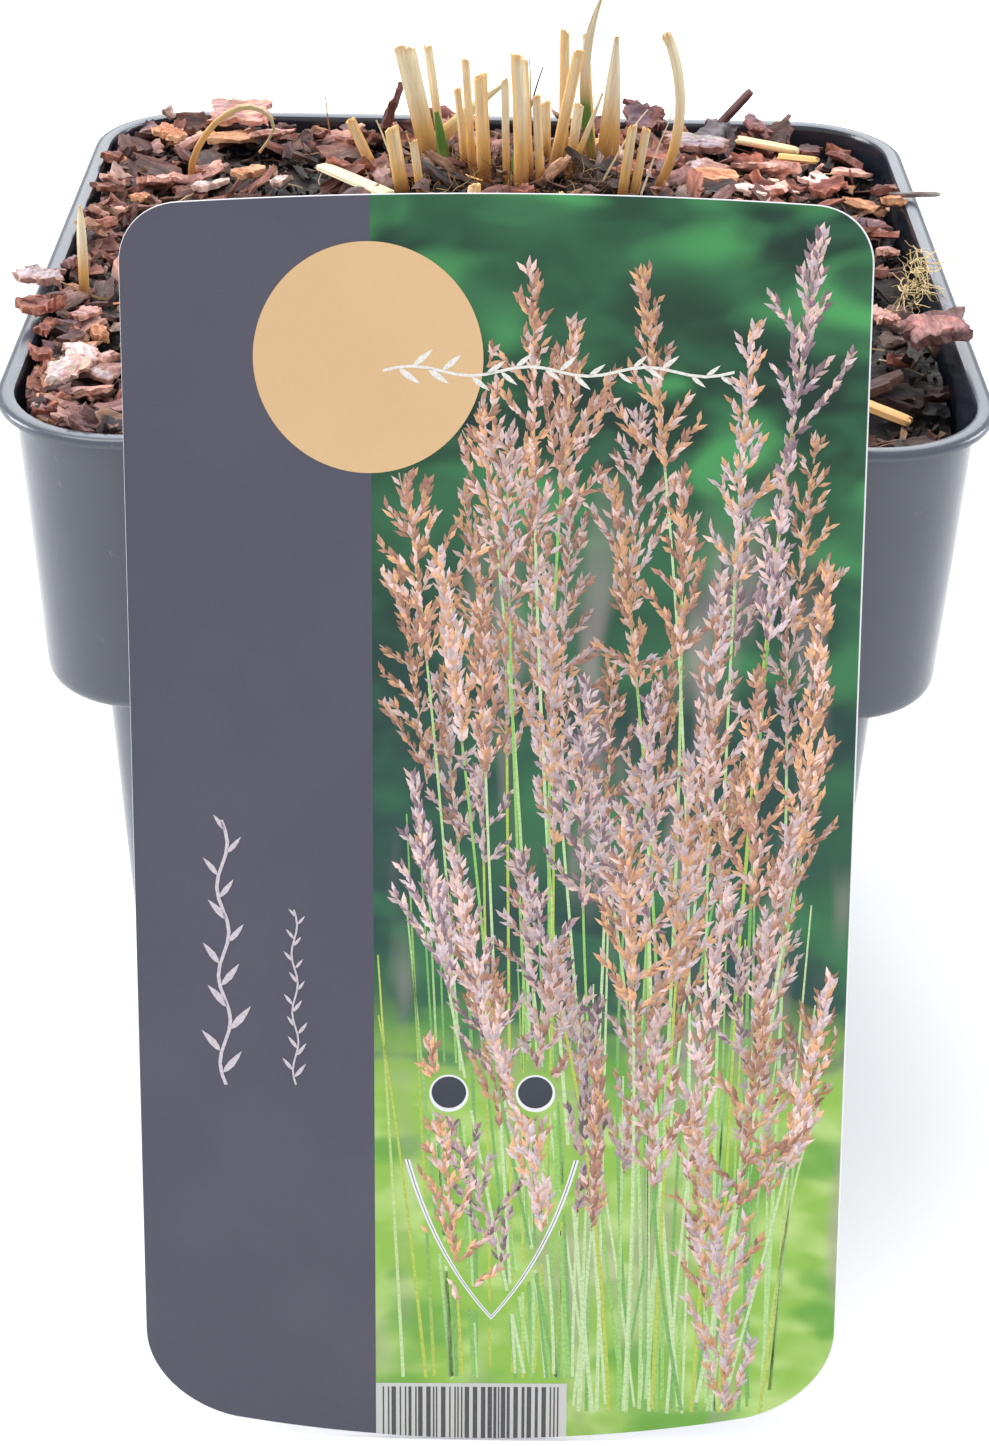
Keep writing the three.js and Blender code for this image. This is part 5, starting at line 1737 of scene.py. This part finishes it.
# Each layer of ears: how many, range of their tops, of their length, of their branches' reach and
# of how open they stand, size of a spikelet, height of the ink and how light it is
ear_layers = (
    ("card_far_ears", 34, (2, -84), (22, 36), (5, 11), (22, 62), 1.5, 0.036, 0.80),
    ("card_near_ears", 34, (28, -92), (24, 44), (4, 13), (18, 58), 1.75, 0.056, 1.05),
)
ear_mixes = (("pink", "pink", "lilac", "brown"), ("pink", "orange", "orange", "brown"),
             ("lilac", "pink", "purple"), ("pink", "lilac", "orange"), ("pink", "brown", "brown", "orange"))
stems_foot = -134
# Each ear stands this share of the picture's width further on, which spreads any number evenly
golden_share = 0.618034


def printed_ears(count, tops, lengths, reaches, opens, size, level, tone):
    """One layer of ears, spread evenly over the picture's width, with plain stems between them."""
    heap = new_heap()
    luck = random.Random(count)
    for _ in range(count):
        u = luck.uniform(band_edge, card_half)
        foot = Vector((0.8 * u + luck.uniform(0, 6), stems_foot))
        top = Vector((u, luck.uniform(-40, -90)))
        stem = bezier([foot, foot.lerp(Vector((u, -50)), 0.5), top], 50)
        ribbon(heap, stem, 0.5, 0.2, level - 0.012, luck.choice(stem_inks), luck.choice(stem_inks))
    for number in range(count):
        share = number / count
        u = band_edge + 3 + 57 * ((number * golden_share + 0.3) % 1)
        high = tops[0] + (tops[1] - tops[0]) * share + luck.uniform(-7, 7)
        top = Vector((u, min(high, 27)))
        foot = Vector((0.62 * u + luck.uniform(1, 15), stems_foot))
        inks = luck.choice(ear_mixes)
        panicle(heap, luck, foot, top, luck.uniform(-7, 7), luck.uniform(*lengths), luck.uniform(*reaches),
                luck.uniform(*opens), size, level + 0.02 * share, inks, tone * luck.uniform(0.85, 1.1))
    return heap


# Ornaments: foot, tip, length of a leaf and ink
ornament_rows = (
    ((-14, 9.6), (29.5, 9.6), 3.6, (0.80, 0.79, 0.74)),
    ((-35, -84), (-35, -48), 4.6, (0.60, 0.55, 0.60)),
    ((-25.8, -84), (-25.8, -60), 2.4, (0.60, 0.55, 0.60)),
)
# Outline of a leaf: along it and across it
leaf_outline = ((0.06, 0), (0.2, -0.09), (0.45, -0.13), (0.75, -0.08), (1, 0), (0.75, 0.06), (0.45, 0.1),
                (0.2, 0.07))


def ornament(heap, luck, start, end, leaf, level, ink_colour):
    """A fine stalk with slender leaves in turn on either side."""
    along = (end - start).normalized()
    side = along.orthogonal()
    length = (end - start).length
    stalk = 0.05 * leaf
    steps = 24
    path = [start + along * length * k / steps + side * 0.16 * leaf * math.sin(math.pi * k / 4)
            for k in range(steps + 1)]
    for a, b in zip(path, path[1:]):
        outline = [a - side * stalk, b - side * stalk, b + side * stalk, a + side * stalk]
        add_ink(heap, outline, level, ink_colour, ink_colour)
    count = int(length / (0.62 * leaf))
    for k in range(count):
        hand = 1 if k % 2 else -1
        spot = path[min(steps, round(steps * (k + 0.4) / count))]
        heading = (along * 0.8 + side * hand * luck.uniform(0.55, 0.7)).normalized()
        across = heading.orthogonal()
        size = leaf * luck.uniform(0.85, 1.05) * (1 - 0.35 * k / count)
        outline = [spot + heading * size * s + across * size * w for s, w in leaf_outline]
        add_ink(heap, outline, level, ink_colour, ink_colour)


def ornaments():
    """Three leafy twigs, drawn in pale ink on the band and the picture."""
    heap = new_heap()
    luck = random.Random(21)
    for start, end, leaf, ink_colour in ornament_rows:
        ornament(heap, luck, Vector(start), Vector(end), leaf, ornament_level, ink_colour)
    return heap


for heap_name, heap in (("card_bars", strip_bars()), ("card_ornaments", ornaments()),
                        *((layer_name, printed_ears(*layer)) for layer_name, *layer in ear_layers)):
    piece = mesh_object(heap_name, heap["points"], heap["faces"], 30, heap["colours"], heap["grains"])
    piece.data.materials.append(ink)
    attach(piece, "root")
    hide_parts("label")

# Floor, light and camera
# A plain pale floor under soft studio light: broad lights above, behind, at the left and at the
# right, and a pale surround. The camera looks down at the front from a little above the rim.
floor_half = 3.0
floor_mesh = bpy.data.meshes.new("pale_floor")
floor_mesh.from_pydata([(-floor_half, -floor_half, 0), (floor_half, -floor_half, 0),
                        (floor_half, floor_half, 0), (-floor_half, floor_half, 0)], [], [(0, 1, 2, 3)])
floor = bpy.data.objects.new("pale_floor", floor_mesh)
bpy.context.scene.collection.objects.link(floor)
floor_paint, floor_tree, floor_shader = start_material("pale_floor")
floor_place = put(floor_tree, "ShaderNodeTexCoord").outputs["Object"]
floor_cloud = mottling(floor_tree, floor_place, 3.0, 4.0, 0.2, 0.8)
floor_pale = blend_colours(floor_tree, floor_cloud, (0.93, 0.93, 0.93), (0.95, 0.95, 0.95))
floor_tree.links.new(floor_pale, floor_shader.inputs["Base Color"])
floor_shader.inputs["Roughness"].default_value = 0.7
floor_mesh.materials.append(floor_paint)

surround = bpy.data.worlds.new("pale_surround")
surround.use_nodes = True
surround_light = surround.node_tree.nodes["Background"]
surround_light.inputs["Color"].default_value = (0.98, 0.99, 1.0, 1)
surround_light.inputs["Strength"].default_value = 0.9
bpy.context.scene.world = surround


light_aim = (0, 0, 0.1)


def soft_light(name, place, size, power, colour):
    """Round area light that faces the part; place and size are in metres."""
    data = bpy.data.lights.new(name, "AREA")
    data.shape = "DISK"
    data.size = size
    data.energy = power
    data.color = colour
    lamp = bpy.data.objects.new(name, data)
    lamp.location = place
    lamp.rotation_euler = (Vector(place) - Vector(light_aim)).to_track_quat("Z", "Y").to_euler()
    bpy.context.scene.collection.objects.link(lamp)


soft_light("light_above", (-0.3, 0.05, 1.25), 0.8, 7.5, (1.0, 0.99, 0.98))
soft_light("light_behind", (0.0, 1.0, 0.75), 1.0, 5.5, (0.94, 0.98, 1.0))
soft_light("light_left", (-1.1, 0.2, 0.5), 0.6, 9.5, (0.96, 0.98, 1.0))
soft_light("light_right", (1.1, 0.3, 0.5), 0.6, 7.5, (0.93, 0.97, 1.0))

camera_place = (-0.00091, -0.36621, 0.269245)
pitch, yaw, roll = (math.radians(a) for a in (31.06, 0.27, 1.08))
picture_size = (989, 1446)
focal_pixels = 2650
sensor = 36
sight = Vector((math.sin(yaw) * math.cos(pitch), math.cos(yaw) * math.cos(pitch), -math.sin(pitch)))
level_right = Vector((math.cos(yaw), -math.sin(yaw), 0))
level_up = level_right.cross(sight)
camera_right = math.cos(roll) * level_right + math.sin(roll) * level_up
camera_up = -math.sin(roll) * level_right + math.cos(roll) * level_up
view = Matrix((camera_right, camera_up, -sight)).transposed().to_4x4()
view.translation = camera_place
camera_data = bpy.data.cameras.new("camera")
camera_data.sensor_width = sensor
camera_data.lens = focal_pixels * sensor / max(picture_size)
camera_data.clip_start = 0.01
camera = bpy.data.objects.new("camera", camera_data)
camera.matrix_world = view
bpy.context.scene.collection.objects.link(camera)
bpy.context.scene.camera = camera
bpy.context.scene.view_settings.view_transform = "Standard"
